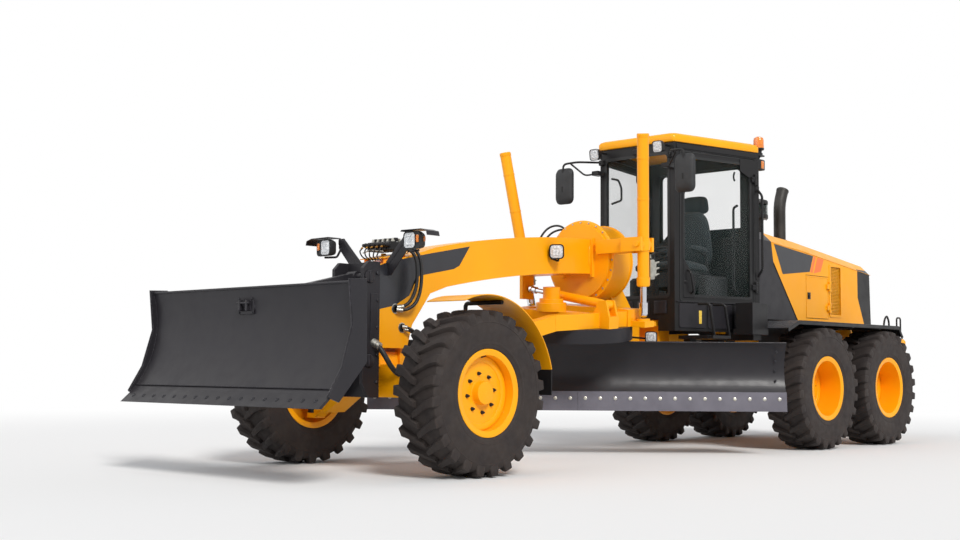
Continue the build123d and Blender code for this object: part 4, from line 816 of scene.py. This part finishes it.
# Pressed lines: the hood's edge moulding along its shoulder, and the seam strip by the cowl
shoulder = [(-2.40, 2.341), (-2.68, 2.314), (-3.05, 2.289), (-3.78, 2.209), (-4.40, 2.140), (-4.83, 2.092)]
seam = [(-2.44, 2.10), (-2.56, 1.957), (-2.80, 1.668), (-2.97, 1.462)]
strip = rounded(0.004, 0.012, 0.0018, 2)
moulding = swept(in_plane(shoulder, hood_y + 0.0005), strip, (0, 1, 0))
gasket = swept(in_plane(seam, hood_y + 0.001), strip, (0, 1, 0))
piece("hood_shoulder_line", mirrored(moulding), yellow_enamel, "rear_frame")
piece("hood_seam_rubber", mirrored(gasket), hose_rubber, "rear_frame")

knob = turned([(0, 0), (0, 0.020), (0.006, 0.022), (0.010, 0.018), (0.010, 0)], 24)
points, faces = framed(box_outline(-3.722, -3.188, 1.498, 2.002, 0.012, 4),
                       box_outline(-3.708, -3.202, 1.512, 1.988, 0.010, 4), 0.5995, 0.6025, "xz")
for name, side in sides:
    body = f"hood_door_{name}"
    latch = [
        block((-3.285, side * 0.5995, 1.72), (-3.215, side * 0.606, 1.80), 0.002),
        copies(knob, (-3.25, side * 0.605, 1.76), (0, side, 0)),
        block((-3.256, side * 0.611, 1.735), (-3.244, side * 0.6155, 1.785), 0.002),
    ]
    piece(f"hood_latch_{name}", latch, black_enamel, body)
    piece(f"hood_door_edge_{name}", (points * (1, side, 1), faces), yellow_enamel, body)

# Rear grille: an expanded mesh behind the bars, its wires at 45 degrees both ways and cut at the
# sides, and lamps above its corners
mesh_half, mesh_high = 0.5, 0.56
diagonals = []
for start in np.arange(-1.0, 1.0, 0.05):
    for way in (1, -1):
        a, b = np.sort(np.clip((np.array([-mesh_half, mesh_half]) - start) / (way * mesh_high), 0, 1))
        if b - a > 0.02:
            rise = mesh_high * np.array([a, (a + b) / 2, b])
            line = np.stack([np.full(3, -4.776), start + way * rise, 1.52 + rise], -1)
            diagonals.append(swept(line, circle(0.003, 4), (1, 0, 0)))
core = slab(box_outline(-0.52, 0.52, 1.50, 2.10, 0.02), -4.75, -4.742, 0.002, "yz")
tail = [copies(lamp_face(0.16, 0.055, 0.03), (-4.806, side * 0.44, 2.125), (-1, 0, 0.03)) for _, side in sides]
piece("rear_grille_mesh", diagonals, black_enamel, "rear_frame", 60)
piece("rear_core", core, hose_rubber, "rear_frame")
piece("tail_lamps", tail, red_lens, "rear_frame")

# Stacks: exhaust with a bent end, clamp and flange, and the precleaner with its clear bowl
exhaust_x, cleaner_spot = -3.62, np.array([-3.22, -0.1, 0])
exhaust = pipe([(exhaust_x, 0, 2.30), (exhaust_x, 0, 2.70), (exhaust_x, 0, 2.96), (-3.70, 0, 3.12)],
               0.074, 0.12, 28, (0, 1, 0))
mouth = turned([(-0.02, 0.0745), (0.0, 0.078), (0.012, 0.078), (0.012, 0.070), (-0.06, 0.066), (-0.06, 0)], 28)
collar = turned([(2.33, 0.08), (2.36, 0.112), (2.372, 0.112), (2.375, 0.083), (2.46, 0.082), (2.462, 0.088),
                 (2.49, 0.088), (2.492, 0.080)], 36)
stack = [exhaust, copies(mouth, (-3.697, 0, 3.116), (-0.447, 0, 0.894), (0, 1, 0)), moved(collar, (exhaust_x, 0, 0))]
piece("exhaust_stack", stack, exhaust_steel, "rear_frame")
stem = turned([(2.38, 0), (2.38, 0.125), (2.40, 0.13), (2.41, 0.094), (2.70, 0.090), (2.72, 0.10), (2.725, 0.145),
               (2.735, 0.150), (2.775, 0.150), (2.78, 0.146)], 40)
hat = turned([(2.905, 0.146), (2.91, 0.150), (2.94, 0.150), (2.955, 0.142), (2.97, 0.10), (2.976, 0.02),
              (2.98, 0.0)], 40)
clip = block((-0.006, -0.006, 2.72), (0.006, 0.006, 2.93), 0.002)
clips = [moved(clip, (0.154 * np.cos(a), 0.154 * np.sin(a), 0)) for a in (0.6, 2.7, 4.8)]
bowl = turned([(2.778, 0.146), (2.79, 0.149), (2.895, 0.149), (2.907, 0.146), (2.907, 0.140), (2.778, 0.140)], 40)
vane = block((0.03, -0.002, 2.785), (0.13, 0.002, 2.895), 0.0015)
vanes = [spun(vane, a) for a in np.linspace(0, 2 * np.pi, 12, endpoint=False)]
core = turned([(2.77, 0.03), (2.91, 0.03)], 20)
made = piece("precleaner", moved(joined(stem, hat, *clips), cleaner_spot), black_enamel, "rear_frame")
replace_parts(made, "hood_stacks")
piece("precleaner_bowl", moved(bowl, cleaner_spot), tinted_glass, "rear_frame")
piece("precleaner_vanes", moved(joined(*vanes, core), cleaner_spot), cab_plastic, "rear_frame")

# Rear fenders: checker plate laid on the front slope and the deck's front, a rolled outer edge, a
# grab loop at the back corner, and ribs under the deck
slope = np.array([(-1.639, 1.3265), (-1.8695, 1.4125), (-2.30, 1.4125)])
plate_corners = ((0.612, 0), (1.25, 0), (1.25, 0.0015), (0.612, 0.0015))  # y and lift
rolled_edge = [(-1.635, 1.306), (-1.872, 1.392), (-4.268, 1.392), (-4.366, 1.273)]
grab = [(-4.16, 1.405), (-4.19, 1.50), (-4.25, 1.545), (-4.30, 1.48), (-4.31, 1.36)]
fender_edges, plates = [], []
for _, side in sides:
    plates.append(capped(np.stack([in_plane(slope + (0, lift), side * y) for y, lift in plate_corners], 1)))
    fender_edges += [
        swept(in_plane(rolled_edge, side * 1.243), rounded(0.012, 0.045, 0.004, 2)),
        arm(in_plane(grab, side * 1.10), 0.012, 0.03),
        *[block((x, side * 0.62, 1.36), (x + 0.04, side * 1.24, 1.399), 0.004) for x in (-2.45, -3.12, -3.80)],
    ]
piece("fender_edges", fender_edges, black_enamel, "rear_frame")
piece("checker_plates", plates, checker_plate, "rear_frame", 20)

# Counterweight: cast block with softened edges, and lamps in it
plan = np.array([(-4.64, 1.05), (-4.64, -1.05), (-4.86, -1.05), (-4.92, -0.96), (-4.92, 0.96), (-4.86, 1.05)])
weight = lofted([drawn_in(plan, depth) for depth in (0.05, 0.02, 0.0, 0.0, 0.02, 0.06)],
                (0.86, 0.868, 0.90, 1.24, 1.268, 1.28))
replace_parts(piece("counterweight_casting", weight, yellow_enamel, "rear_frame", 30), "counterweight")
reds, ambers = ([(-4.912, side * y, 1.13) for _, side in sides] for y in (0.82, 0.66))
rear_case, rear_lens = lamp_body(0.13, 0.09, 0.03), lamp_face(0.13, 0.09, 0.03)
for name, shape, spots, look, slot in (
    ("rear_lamp_cases", rear_case, reds + ambers, black_enamel, "black_paint"),
    ("rear_red_lenses", rear_lens, reds, red_lens, "tinted_glass"),
    ("rear_amber_lenses", rear_lens, ambers, amber_lens, "tinted_glass"),
):
    piece(name, copies(shape, spots, (-1, 0, 0)), look, "rear_frame")

# Gooseneck: dark panel film, hose ports, the drum's flanges, gussets and screws
neck_film = [(2.194, 1.985), (2.713, 1.885), (3.22, 1.778), (3.322, 1.74), (3.322, 1.367), (3.125, 1.409),
             (2.960, 1.500), (2.916, 1.60), (2.885, 1.655), (2.824, 1.683), (2.404, 1.765), (2.330, 1.80)]
film = slab(neck_film, 0.1703, 0.1713, 0.0004, "xz")
piece("neck_dark_film", mirrored(film), black_film, "front_frame")
port = turned([(0, 0), (0, 0.034), (0.004, 0.036), (0.010, 0.036), (0.012, 0.030), (0.012, 0.022), (0.0, 0.020),
               (-0.01, 0)], 28)
port_ring = turned([(0, 0.035), (0, 0.044), (0.003, 0.044), (0.004, 0.035)], 28)
port_spots = [(3.126, 0.170, 1.380), (3.043, 0.170, 1.218)]
piece("hose_grommets", copies(port, port_spots, (0, 1, 0)), hose_rubber, "front_frame")
piece("grommet_rings", copies(port_ring, port_spots, (0, 1, 0)), zinc_plate, "front_frame")
drum_z = 1.97
flange = turned([(-0.001, 0.34), (-0.001, 0.418), (0.004, 0.424), (0.018, 0.424), (0.022, 0.418), (0.022, 0.385)], 96)
rear_flange = turned([(0, 0.36), (0, 0.392), (0.006, 0.396), (0.022, 0.396), (0.026, 0.39), (0.026, 0.36)], 96)
flanges = [copies(shape, (x, 0, drum_z), (1, 0, 0)) for shape, x in ((flange, 0.335), (rear_flange, -0.012))]
piece("drum_flanges", flanges, yellow_enamel, "front_frame")
gusset = [(0.372, 1.87), (0.44, 1.93), (0.44, 2.10), (0.372, 2.165), (0.372, 2.03)]
piece("drum_gussets", mirrored(slab(gusset, 0.1695, 0.176, 0.002, "xz")), yellow_enamel, "front_frame")
drum_screws = in_plane(circle(0.402, 24) + (0, drum_z), 0.357, 0)
piece("drum_screws", bolts(drum_screws, (1, 0, 0), 0.006), zinc_plate, "front_frame", 30)

# Headlamps: twin-bulb cases under folded visors, on plates that rise from the mast
visor_line = np.array([(0.46, 2.012), (0.47, 2.022), (0.70, 2.020), (0.765, 2.002), (0.775, 1.965)])
lamp_plate = np.array([(0.16, 1.78), (0.16, 1.66), (0.215, 1.66), (0.47, 1.93), (0.47, 2.015), (0.40, 2.015)])
plate_fold = np.array([(0.47, 1.985), (0.40, 1.985), (0.17, 1.765)])
lamp_cases, lamp_lenses, lamp_turns, visors = [], [], [], []
for _, side in sides:
    spot, way = np.array([3.322, side * 0.565, 1.935]), (1, side * 0.05, 0)
    lamp_cases.append(copies(lamp_body(0.19, 0.15, 0.10), spot, way))
    lamp_lenses.append(copies(lamp_face(0.13, 0.14, 0.05), spot + (0.004, -side * 0.025, 0), way))
    lamp_turns += [
        copies(lamp_face(0.034, 0.07, 0.03), spot + (0.002, side * 0.068, 0.01), way),
        copies(lamp_face(0.026, 0.05, 0.02), spot + (-0.06, side * 0.096, 0.01), (0, side, 0)),
    ]
    visors += [
        swept(in_plane(visor_line * (side, 1), 3.275, 0), rounded(0.005, 0.15, 0.002, 2), (1, 0, 0)),
        slab((lamp_plate * (side, 1))[::side], 3.215, 3.223, 0.002, "yz"),
        swept(in_plane(plate_fold * (side, 1), 3.223, 0), rounded(0.045, 0.006, 0.002, 2), (1, 0, 0)),
        arm([(3.22, side * 0.44, 1.925), (3.24, side * 0.47, 1.850), (3.27, side * 0.60, 1.852)], 0.010, 0.02),
    ]
piece("headlamp_cases", lamp_cases, cab_plastic, "front_frame")
piece("headlamp_lenses", lamp_lenses, clear_lens, "front_frame")
piece("headlamp_turn_lenses", lamp_turns, amber_lens, "front_frame")
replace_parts(piece("headlamp_visors", visors, charcoal_enamel, "front_frame"), "neck_fittings")


# Valve block: stacked sections with end caps, coils, plugs, fittings and pilot hoses, on a tray


def neck_top(x):
    """Height of the gooseneck's straight top at x."""
    return 1.735 + (3.335 - x) * 0.3011


cap = turned([(0, 0), (0, 0.022), (0.045, 0.022), (0.05, 0.016), (0.072, 0.014), (0.075, 0)], 18)
coil = turned([(0, 0), (0, 0.020), (0.004, 0.023), (0.026, 0.023), (0.030, 0.018), (0.031, 0)], 20)
nut = turned([(0, 0), (0, 0.017), (0.014, 0.017), (0.016, 0.012), (0.030, 0.011), (0.032, 0)], 6)
union = turned([(0, 0), (0, 0.009), (0.012, 0.009), (0.013, 0.006), (0.022, 0.006), (0.022, 0)], 6)
valve_black, valve_metal, valve_brass = [], [], []
for k in range(5):
    y = -0.125 + 0.062 * k
    valve_black += [
        block((3.00, y - 0.028, 1.885), (3.17, y + 0.028, 1.965), 0.006),
        copies(cap, (3.17, y, 1.935), (1, 0, 0)),
        copies(cap, (3.00, y, 1.935), (-1, 0, 0)),
        moved(coil, (3.085, y, 1.968 if k % 2 else 1.97)),
        pipe([(3.255, y, 1.905), (3.285, y + 0.01, 1.875), (3.27, y * 0.7, 1.825), (3.22, y * 0.5 + 0.02, 1.80)],
             0.006),
        pipe([(2.93, y, 1.935), (2.90, y * 0.9, 1.955), (2.88, y * 0.7, 1.93), (2.89, y * 0.6, 1.885)], 0.006),
    ]
    valve_metal += [moved(nut, (x, y, 1.965)) for x in (3.04, 3.12)]
    valve_brass.append(copies(union, (3.245, y, 1.915), (1, 0, -0.5)))
valve_metal.append(swept([(3.235, -0.13, 1.87), (3.265, 0.0, 1.885), (3.235, 0.13, 1.87)], circle(0.006, 8)))
tray = [(x, neck_top(x) + lift) for x, lift in ((2.96, 0.020), (3.25, 0.048), (3.25, 0.056), (2.96, 0.028))]
valve_tray = [slab(tray, -0.155, 0.155, 0.002, "xz")]
for x in (3.0, 3.2):
    low, high = neck_top(x) - 0.01, neck_top(x) + 0.045
    valve_tray += [block((x - 0.02, y - 0.015, low), (x + 0.02, y + 0.015, high), 0.003) for y in (-0.12, 0.12)]
piece("valve_sections", valve_black, black_enamel, "front_frame")
piece("valve_nuts", valve_metal, zinc_plate, "front_frame", 30)
piece("valve_fittings", valve_brass, brass_fitting, "front_frame", 30)
piece("valve_tray", valve_tray, yellow_enamel, "front_frame")

# Dozer mast: pins with keepers, a plate between them, and screws
mast_y = 0.2005
keeper = joined(
    turned([(0, 0), (0, 0.052), (0.004, 0.055), (0.010, 0.055), (0.012, 0.050), (0.014, 0)], 28),
    block((-0.012, -0.05, 0.012), (0.012, 0.05, 0.022), 0.003),
)
mast_plate = [(3.36, 1.10), (3.36, 1.50), (3.44, 1.50), (3.44, 1.10)]
mast_fit = []
for _, side in sides:
    mast_fit += [copies(keeper, (3.455, side * mast_y, z), (0, side, 0)) for z in (0.93, 1.64)]
    mast_fit.append(slab(mast_plate, side * mast_y, side * (mast_y + 0.006), 0.002, "xz"))
mast_screws = np.array([(3.365, side * mast_y, z) for _, side in sides for z in (0.75, 0.98, 1.21, 1.44, 1.67)])
ways = np.sign(mast_screws) * (0, 1, 0)
piece("mast_pins", mast_fit, charcoal_enamel, "front_frame")
piece("mast_screws", bolts(mast_screws, ways, 0.010), oxide_bolt, "front_frame", 30)

# Front blade: countersunk edge screws follow the lower part of the curve, a bracket with its hook
# is bolted on the face, and beads run along the top, above the edge and round both ends
low_way = unit((0.12, 0, -0.103))
out_way = np.array([-low_way[2], 0, low_way[0]])
edge_seat = np.array([4.78, 0, 0.68]) + low_way * 0.075
edge_spots = edge_seat + np.linspace(-1.17, 1.17, 17)[:, None] * (0, 1, 0)
screw = turned([(-0.002, 0), (-0.002, 0.020), (0.003, 0.018), (0.005, 0.010), (0.002, 0.008), (0.002, 0)], 16)
piece("dozer_edge_screws", copies(screw, edge_spots, out_way), oxide_bolt, "dozer_blade", 30)
face_x = 4.5665
bead = [(edge_seat[0] - 0.082, y, edge_seat[2] + 0.088) for y in (-1.262, 0, 1.262)]
blade_fit = [
    slab(box_outline(-0.11, 0.09, 1.285, 1.425, 0.012), face_x, face_x + 0.010, 0.003, "yz"),
    *[block((face_x + 0.008, y - 0.012, 1.31), (face_x + 0.050, y + 0.012, 1.40), 0.006) for y in (-0.055, 0.035)],
    swept([(face_x + 0.038, y, 1.375) for y in (-0.09, 0.0, 0.07)], circle(0.009, 12)),
    swept([(4.590, y, 1.493) for y in (-1.265, 0, 1.265)], rounded(0.036, 0.020, 0.008, 4)),
    swept(bead, rounded(0.012, 0.010, 0.003, 2)),
]
bracket_screws = bolts([(face_x + 0.010, y, z) for y in (-0.095, 0.075) for z in (1.30, 1.41)], (1, 0, 0), 0.006)
end_line = [(4.46, 1.512), (4.63, 1.512), (4.595, 1.18), (4.69, 0.87), (4.818, 0.664)]
end_rims = [swept(in_plane(end_line, side * 1.277), rounded(0.022, 0.010, 0.004, 3), (0, 1, 0)) for _, side in sides]
piece("dozer_blade_fittings", blade_fit, charcoal_enamel, "dozer_blade")
piece("dozer_bracket_screws", bracket_screws, oxide_bolt, "dozer_blade", 30)
piece("dozer_end_rims", end_rims, charcoal_enamel, "dozer_blade")

# Moldboard and cutting edges: the plane of the circle carries them; u runs along the blade
tilt, swing = np.radians(7), np.radians(46)
axis_w = np.array([np.sin(tilt) * np.sin(swing), np.sin(tilt) * np.cos(swing), np.cos(tilt)])
axis_u = np.array([np.cos(swing), -np.sin(swing), 0.0])
axis_v = np.cross(axis_w, axis_u)
circle_spot = np.array([0.55, 0.0, 1.185])


def on_blade(u, v, w):
    """A point in the circle's plane: along the blade, across it to the front, and along its axis."""
    u, v, w = np.broadcast_arrays(u, v, w)
    return circle_spot + u[..., None] * axis_u + v[..., None] * axis_v + w[..., None] * axis_w


edge_low, edge_high = np.array([0.018, -0.738]), np.array([-0.032, -0.548])
edge_way = unit(edge_high - edge_low)
edge_out = np.array([edge_way[1], -edge_way[0]])
screw_row = edge_low + edge_way * 0.125 + edge_out * 0.0005
spots = on_blade(np.arange(-2.16, 2.0, 0.1525), *screw_row)
out_way = axis_v * edge_out[0] + axis_w * edge_out[1]
piece("cutting_edge_screws", copies(screw, spots, out_way, axis_u), zinc_plate, "blade", 30)
v, w = (edge_low + np.outer([0.002, 0.09, 0.186], edge_way) + edge_out * 0.0002).T
joint = swept(on_blade(-0.10, v, w), rounded(0.004, 0.002, 0.0008, 1), axis_u)
piece("cutting_edge_joint", joint, black_enamel, "blade")
belly = ((-0.088, -0.14), (-0.130, -0.24), (-0.136, -0.34), (-0.106, -0.44))
end_screws = [on_blade(u, v, w) for u in (-2.135, 1.935) for v, w in belly]
end_screws = bolts(end_screws, axis_v + 0.1 * axis_w, 0.008, axis_u)
piece("moldboard_end_screws", end_screws, oxide_bolt, "blade", 30)
top_bead = swept(on_blade(np.linspace(-2.226, 2.026, 3), -0.073, -0.046), rounded(0.022, 0.016, 0.006, 3), axis_w)
piece("moldboard_top_bead", top_bead, charcoal_enamel, "blade")

# Lift barrels: gland, end cap, steel pipes along them, and the valve block with its fittings
band = turned([(-0.01, 0.0582), (-0.009, 0.0605), (0.009, 0.0605), (0.01, 0.0582)], 32)
trim = joined(
    turned([(-0.415, 0.034), (-0.415, 0.060), (-0.405, 0.063), (-0.350, 0.063), (-0.345, 0.0585)], 32),
    turned([(1.05, 0.0585), (1.056, 0.061), (1.085, 0.061), (1.092, 0.055), (1.092, 0)], 32),
    turned([(-0.06, 0.0585), (-0.055, 0.068), (0.055, 0.068), (0.06, 0.0585)], 32),
    *[moved(band, (0, 0, z)) for z in (0.45, 0.85)],
)
pipes = joined(
    arm([(0.062, 0.010, 1.05), (0.078, 0.012, 1.035), (0.078, 0.012, 0.30), (0.078, 0.012, -0.08)], 0.007, 0.02),
    arm([(0.060, -0.018, -0.33), (0.085, -0.024, -0.32), (0.085, -0.024, -0.20), (0.080, -0.014, -0.14)], 0.007, 0.02),
)
cluster = [
    block((0.062, -0.035, -0.30), (0.125, 0.040, -0.10), 0.008),
    block((0.120, -0.022, -0.27), (0.155, 0.024, -0.13), 0.006),
]
for z, r in ((-0.26, 0.014), (-0.20, 0.016), (-0.14, 0.014)):
    union = turned([(0, 0), (0, r), (0.012, r), (0.013, r * 0.7), (0.034, r * 0.7), (0.036, r * 0.5), (0.05, r * 0.5),
                    (0.05, 0)], 6)
    plug = turned([(0, 0), (0, r), (0.010, r), (0.012, r * 0.6), (0.028, r * 0.6), (0.028, 0)], 6)
    cluster += [copies(union, (0.155, 0.0, z), (1, 0, 0.2)), copies(plug, (0.095, 0.040, z), (0, 1, 0))]
nipple = turned([(0, 0), (0, 0.011), (0.03, 0.011), (0.032, 0.006), (0.05, 0.006), (0.05, 0)], 12)
cluster.append(copies(nipple, (0.09, 0.0, -0.10), (0, 0, 1), (1, 0, 0)))
cluster = moved(joined(*cluster), (0, 0, -0.055))
for name, side in sides:
    body = f"lift_barrel_{name}"
    stand = (0.36, side * 0.79, 2.10), (0.147, side * 0.1055, 0.985), (side * -0.25, -1.0, 0)
    piece(f"barrel_trim_{name}", copies(trim, *stand), yellow_enamel, body)
    piece(f"barrel_pipes_{name}", copies(pipes, *stand), hose_rubber, body)
    piece(f"barrel_valve_{name}", copies(cluster, *stand), zinc_plate, body, 30)

# Work lamps on short stalks: one on each side of the gooseneck, and one low in front of the cab on
# each side, the right one further back, where the turned moldboard passes
work_cases, work_faces = [], []
for spot, foot, width in (
    ((1.07, 0.268, 2.010), (1.03, 0.172, 1.95), 0.145),
    ((1.07, -0.268, 2.010), (1.03, -0.172, 1.95), 0.145),
    ((-0.235, 0.455, 1.200), (-0.290, 0.155, 1.215), 0.125),
    ((-0.330, -0.455, 1.195), (-0.390, -0.155, 1.205), 0.125),
):
    spot, foot = np.array(spot), np.array(foot)
    outwards = np.array([0, np.sign(spot[1]), 0])
    lamp_way = unit((1, 0.55 * outwards[1], -0.08))
    work_cases.append(copies(lamp_body(width, width, 0.6 * width), spot, lamp_way))
    work_faces.append(copies(lamp_face(0.93 * width, 0.93 * width, 0.5 * width), spot, lamp_way))
    elbow = np.array([spot[0] - 0.06, spot[1] - 0.02 * outwards[1], foot[2] - 0.03])
    work_cases.append(arm([foot, foot + 0.03 * outwards + (0, 0, -0.01), elbow, spot - 0.06 * lamp_way], 0.010, 0.02))
piece("work_lamp_cases", work_cases, black_enamel, "front_frame")
piece("work_lamp_lenses", work_faces, clear_lens, "front_frame")


# Hoses: quadratic NURBS curves whose control points follow the real runs, both ends in fittings

crimp_outline = [(-0.01, 0), (-0.01, 0.66), (0.0, 0.80), (1.2, 0.80), (1.25, 0.72), (1.9, 0.72), (2.0, 0.60), (2.0, 0)]


def hose(name, points, diameter, body):
    """A hose between two fittings: an order 3 NURBS curve, measured along its own line, with a
    crimped steel ferrule on each end."""
    curve = bpy.data.curves.new(name, "CURVE")
    curve.dimensions = "3D"
    curve.resolution_u = 10
    line = curve.splines.new("NURBS")
    line.points.add(len(points) - 1)
    line.points.foreach_set("co", np.column_stack([points, np.ones(len(points))]).ravel())
    line.order_u = 3
    line.use_endpoint_u = True
    made = bpy.data.objects.new(name, curve)
    bpy.context.scene.collection.objects.link(made)
    measured = bpy.data.meshes.new_from_object(made)
    route = np.zeros(len(measured.vertices) * 3)
    measured.vertices.foreach_get("co", route)
    route = route.reshape(-1, 3)
    bpy.data.meshes.remove(measured)
    curve.bevel_depth = diameter / 2
    curve.bevel_resolution = 3
    curve.use_fill_caps = True
    curve.materials.append(hose_rubber)
    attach(made, body)
    crimp = turned(np.array(crimp_outline) * diameter, 14)
    ends = [copies(crimp, route[end], route[inner] - route[end], (0.3, 0.2, 0.9)) for end, inner in ((0, 2), (-1, -3))]
    ferrule = piece(f"{name}_ferrules", ends, zinc_plate, body)


for name, diameter, points in (
    ("neck_hose_a", 0.030, [
        (3.04, 0.150, 1.900), (3.01, 0.215, 1.905), (2.965, 0.262, 1.830), (2.955, 0.268, 1.690),
        (2.970, 0.268, 1.560), (3.015, 0.255, 1.450), (3.075, 0.222, 1.395), (3.118, 0.186, 1.388)]),
    ("neck_hose_b", 0.030, [
        (2.985, 0.150, 1.915), (2.960, 0.215, 1.920), (2.918, 0.262, 1.840), (2.905, 0.270, 1.690),
        (2.918, 0.270, 1.540), (2.968, 0.262, 1.420), (3.060, 0.226, 1.362), (3.130, 0.186, 1.368)]),
    ("axle_hose_a", 0.022, [
        (3.050, 0.184, 1.226), (3.010, 0.225, 1.222), (2.955, 0.262, 1.170), (2.925, 0.275, 1.090),
        (2.930, 0.262, 1.000), (2.965, 0.230, 0.930), (3.015, 0.200, 0.895)]),
    ("axle_hose_b", 0.022, [
        (3.036, 0.184, 1.206), (2.995, 0.222, 1.196), (2.930, 0.250, 1.130), (2.895, 0.255, 1.050),
        (2.905, 0.240, 0.960), (2.945, 0.205, 0.900), (3.015, 0.160, 0.880)]),
    ("mast_hose_a", 0.045, [
        (3.400, 0.185, 1.090), (3.385, 0.245, 1.060), (3.350, 0.300, 0.960), (3.300, 0.330, 0.860),
        (3.220, 0.350, 0.800), (3.130, 0.360, 0.850), (3.080, 0.350, 0.905)]),
    ("mast_hose_b", 0.022, [
        (3.370, -0.19, 1.060), (3.345, -0.26, 1.030), (3.305, -0.31, 0.930), (3.260, -0.33, 0.850),
        (3.200, -0.345, 0.800), (3.140, -0.35, 0.850), (3.100, -0.34, 0.905)]),
    ("drum_hose_a", 0.022, [
        (0.060, -0.30, 2.222), (0.050, -0.36, 2.30), (0.090, -0.44, 2.360), (0.170, -0.53, 2.330),
        (0.220, -0.60, 2.240), (0.230, -0.64, 2.160)]),
    ("drum_hose_b", 0.022, [
        (0.120, -0.30, 2.222), (0.115, -0.37, 2.33), (0.150, -0.46, 2.400), (0.230, -0.55, 2.370),
        (0.275, -0.62, 2.260), (0.280, -0.66, 2.165)]),
):
    hose(name, points, diameter, "front_frame")


# Stage: a pale floor that fades to white away from the machine, plain light, and the camera

floor_material, tree, shader = finish("pale_floor", Roughness=0.9, Specular_IOR_Level=0.1)
shader.inputs["Base Color"].default_value = linear("#f3f3f3")
place = add(tree, "TexCoord").outputs["Object"]
distance = add(tree, "VectorMath", {0: place}, operation="LENGTH")
fade = add(tree, "MapRange", {0: distance.outputs["Value"], 1: 6.5, 2: 16.0}, interpolation_type="SMOOTHSTEP")
white = add(tree, "Emission", {"Color": (1, 1, 1, 1), "Strength": 1.0})
floor_mix = add(tree, "MixShader", {0: fade.outputs[0], 1: shader.outputs[0], 2: white.outputs[0]})
tree.links.new(floor_mix.outputs[0], tree.nodes["Material Output"].inputs["Surface"])
reach = np.linspace(-60, 60, 9)
floor_points = np.stack([*np.meshgrid(reach, reach), np.full((9, 9), -0.002)], -1)
points, faces = grid(floor_points)
floor_mesh = bpy.data.meshes.new("pale_floor")
floor_mesh.from_pydata(points.tolist(), [], faces.tolist())
floor_mesh.materials.append(floor_material)
floor = bpy.data.objects.new("pale_floor", floor_mesh)
bpy.context.scene.collection.objects.link(floor)
floor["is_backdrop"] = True

world = bpy.data.worlds.new("studio")
bpy.context.scene.world = world
world.use_nodes = True
tree = world.node_tree
tree.nodes.clear()
seen = add(tree, "LightPath")
direct = add(
    tree,
    "Math",
    {0: seen.outputs["Is Camera Ray"], 1: seen.outputs["Is Transmission Ray"]},
    operation="MAXIMUM",
)
shown = add(tree, "Math", {0: direct.outputs[0], 1: seen.outputs["Is Glossy Ray"]}, operation="MAXIMUM")
fill = add(tree, "Background", {"Color": (0.92, 0.95, 1.0, 1.0), "Strength": 0.42})
backdrop = add(tree, "Background", {"Color": (1, 1, 1, 1), "Strength": 1.0})
sky = add(tree, "MixShader", {0: shown.outputs[0], 1: fill.outputs[0], 2: backdrop.outputs[0]})
add(tree, "OutputWorld", {"Surface": sky.outputs[0]})

for name, heading, strength, spread in (
    ("key_light", (0.34, 0.72, 0.62), 2.4, 0.30),
    ("side_light", (0.85, -0.25, 0.45), 0.8, 0.9),
):
    lamp = bpy.data.lights.new(name, "SUN")
    lamp.energy = strength
    lamp.angle = spread
    lamp.color = (1.0, 0.98, 0.95)
    holder = bpy.data.objects.new(name, lamp)
    z = unit(heading)
    x = unit(np.cross((0, 0, 1), z))
    holder.matrix_world = Matrix(np.vstack([np.column_stack([x, np.cross(z, x), z, z * 20]), (0, 0, 0, 1)]).tolist())
    bpy.context.scene.collection.objects.link(holder)

camera_spot = np.array([10.952, 8.456, 0.878])
yaw, pitch, roll = np.radians((-137.033, 4.228, 0.388))
ahead = np.array([np.cos(yaw) * np.cos(pitch), np.sin(yaw) * np.cos(pitch), np.sin(pitch)])
level = unit(np.cross(ahead, (0, 0, 1)))
upright = np.cross(level, ahead)
right = level * np.cos(roll) + upright * np.sin(roll)
top = upright * np.cos(roll) - level * np.sin(roll)
camera_data = bpy.data.cameras.new("photo_camera")
camera_data.sensor_width = 36
camera_data.lens = 49.5
camera_data.clip_end = 300
camera = bpy.data.objects.new("photo_camera", camera_data)
camera.matrix_world = Matrix(np.vstack([np.column_stack([right, top, -ahead, camera_spot]), (0, 0, 0, 1)]).tolist())
bpy.context.scene.collection.objects.link(camera)
bpy.context.scene.camera = camera
bpy.context.scene.view_settings.view_transform = "Standard"

low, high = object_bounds()
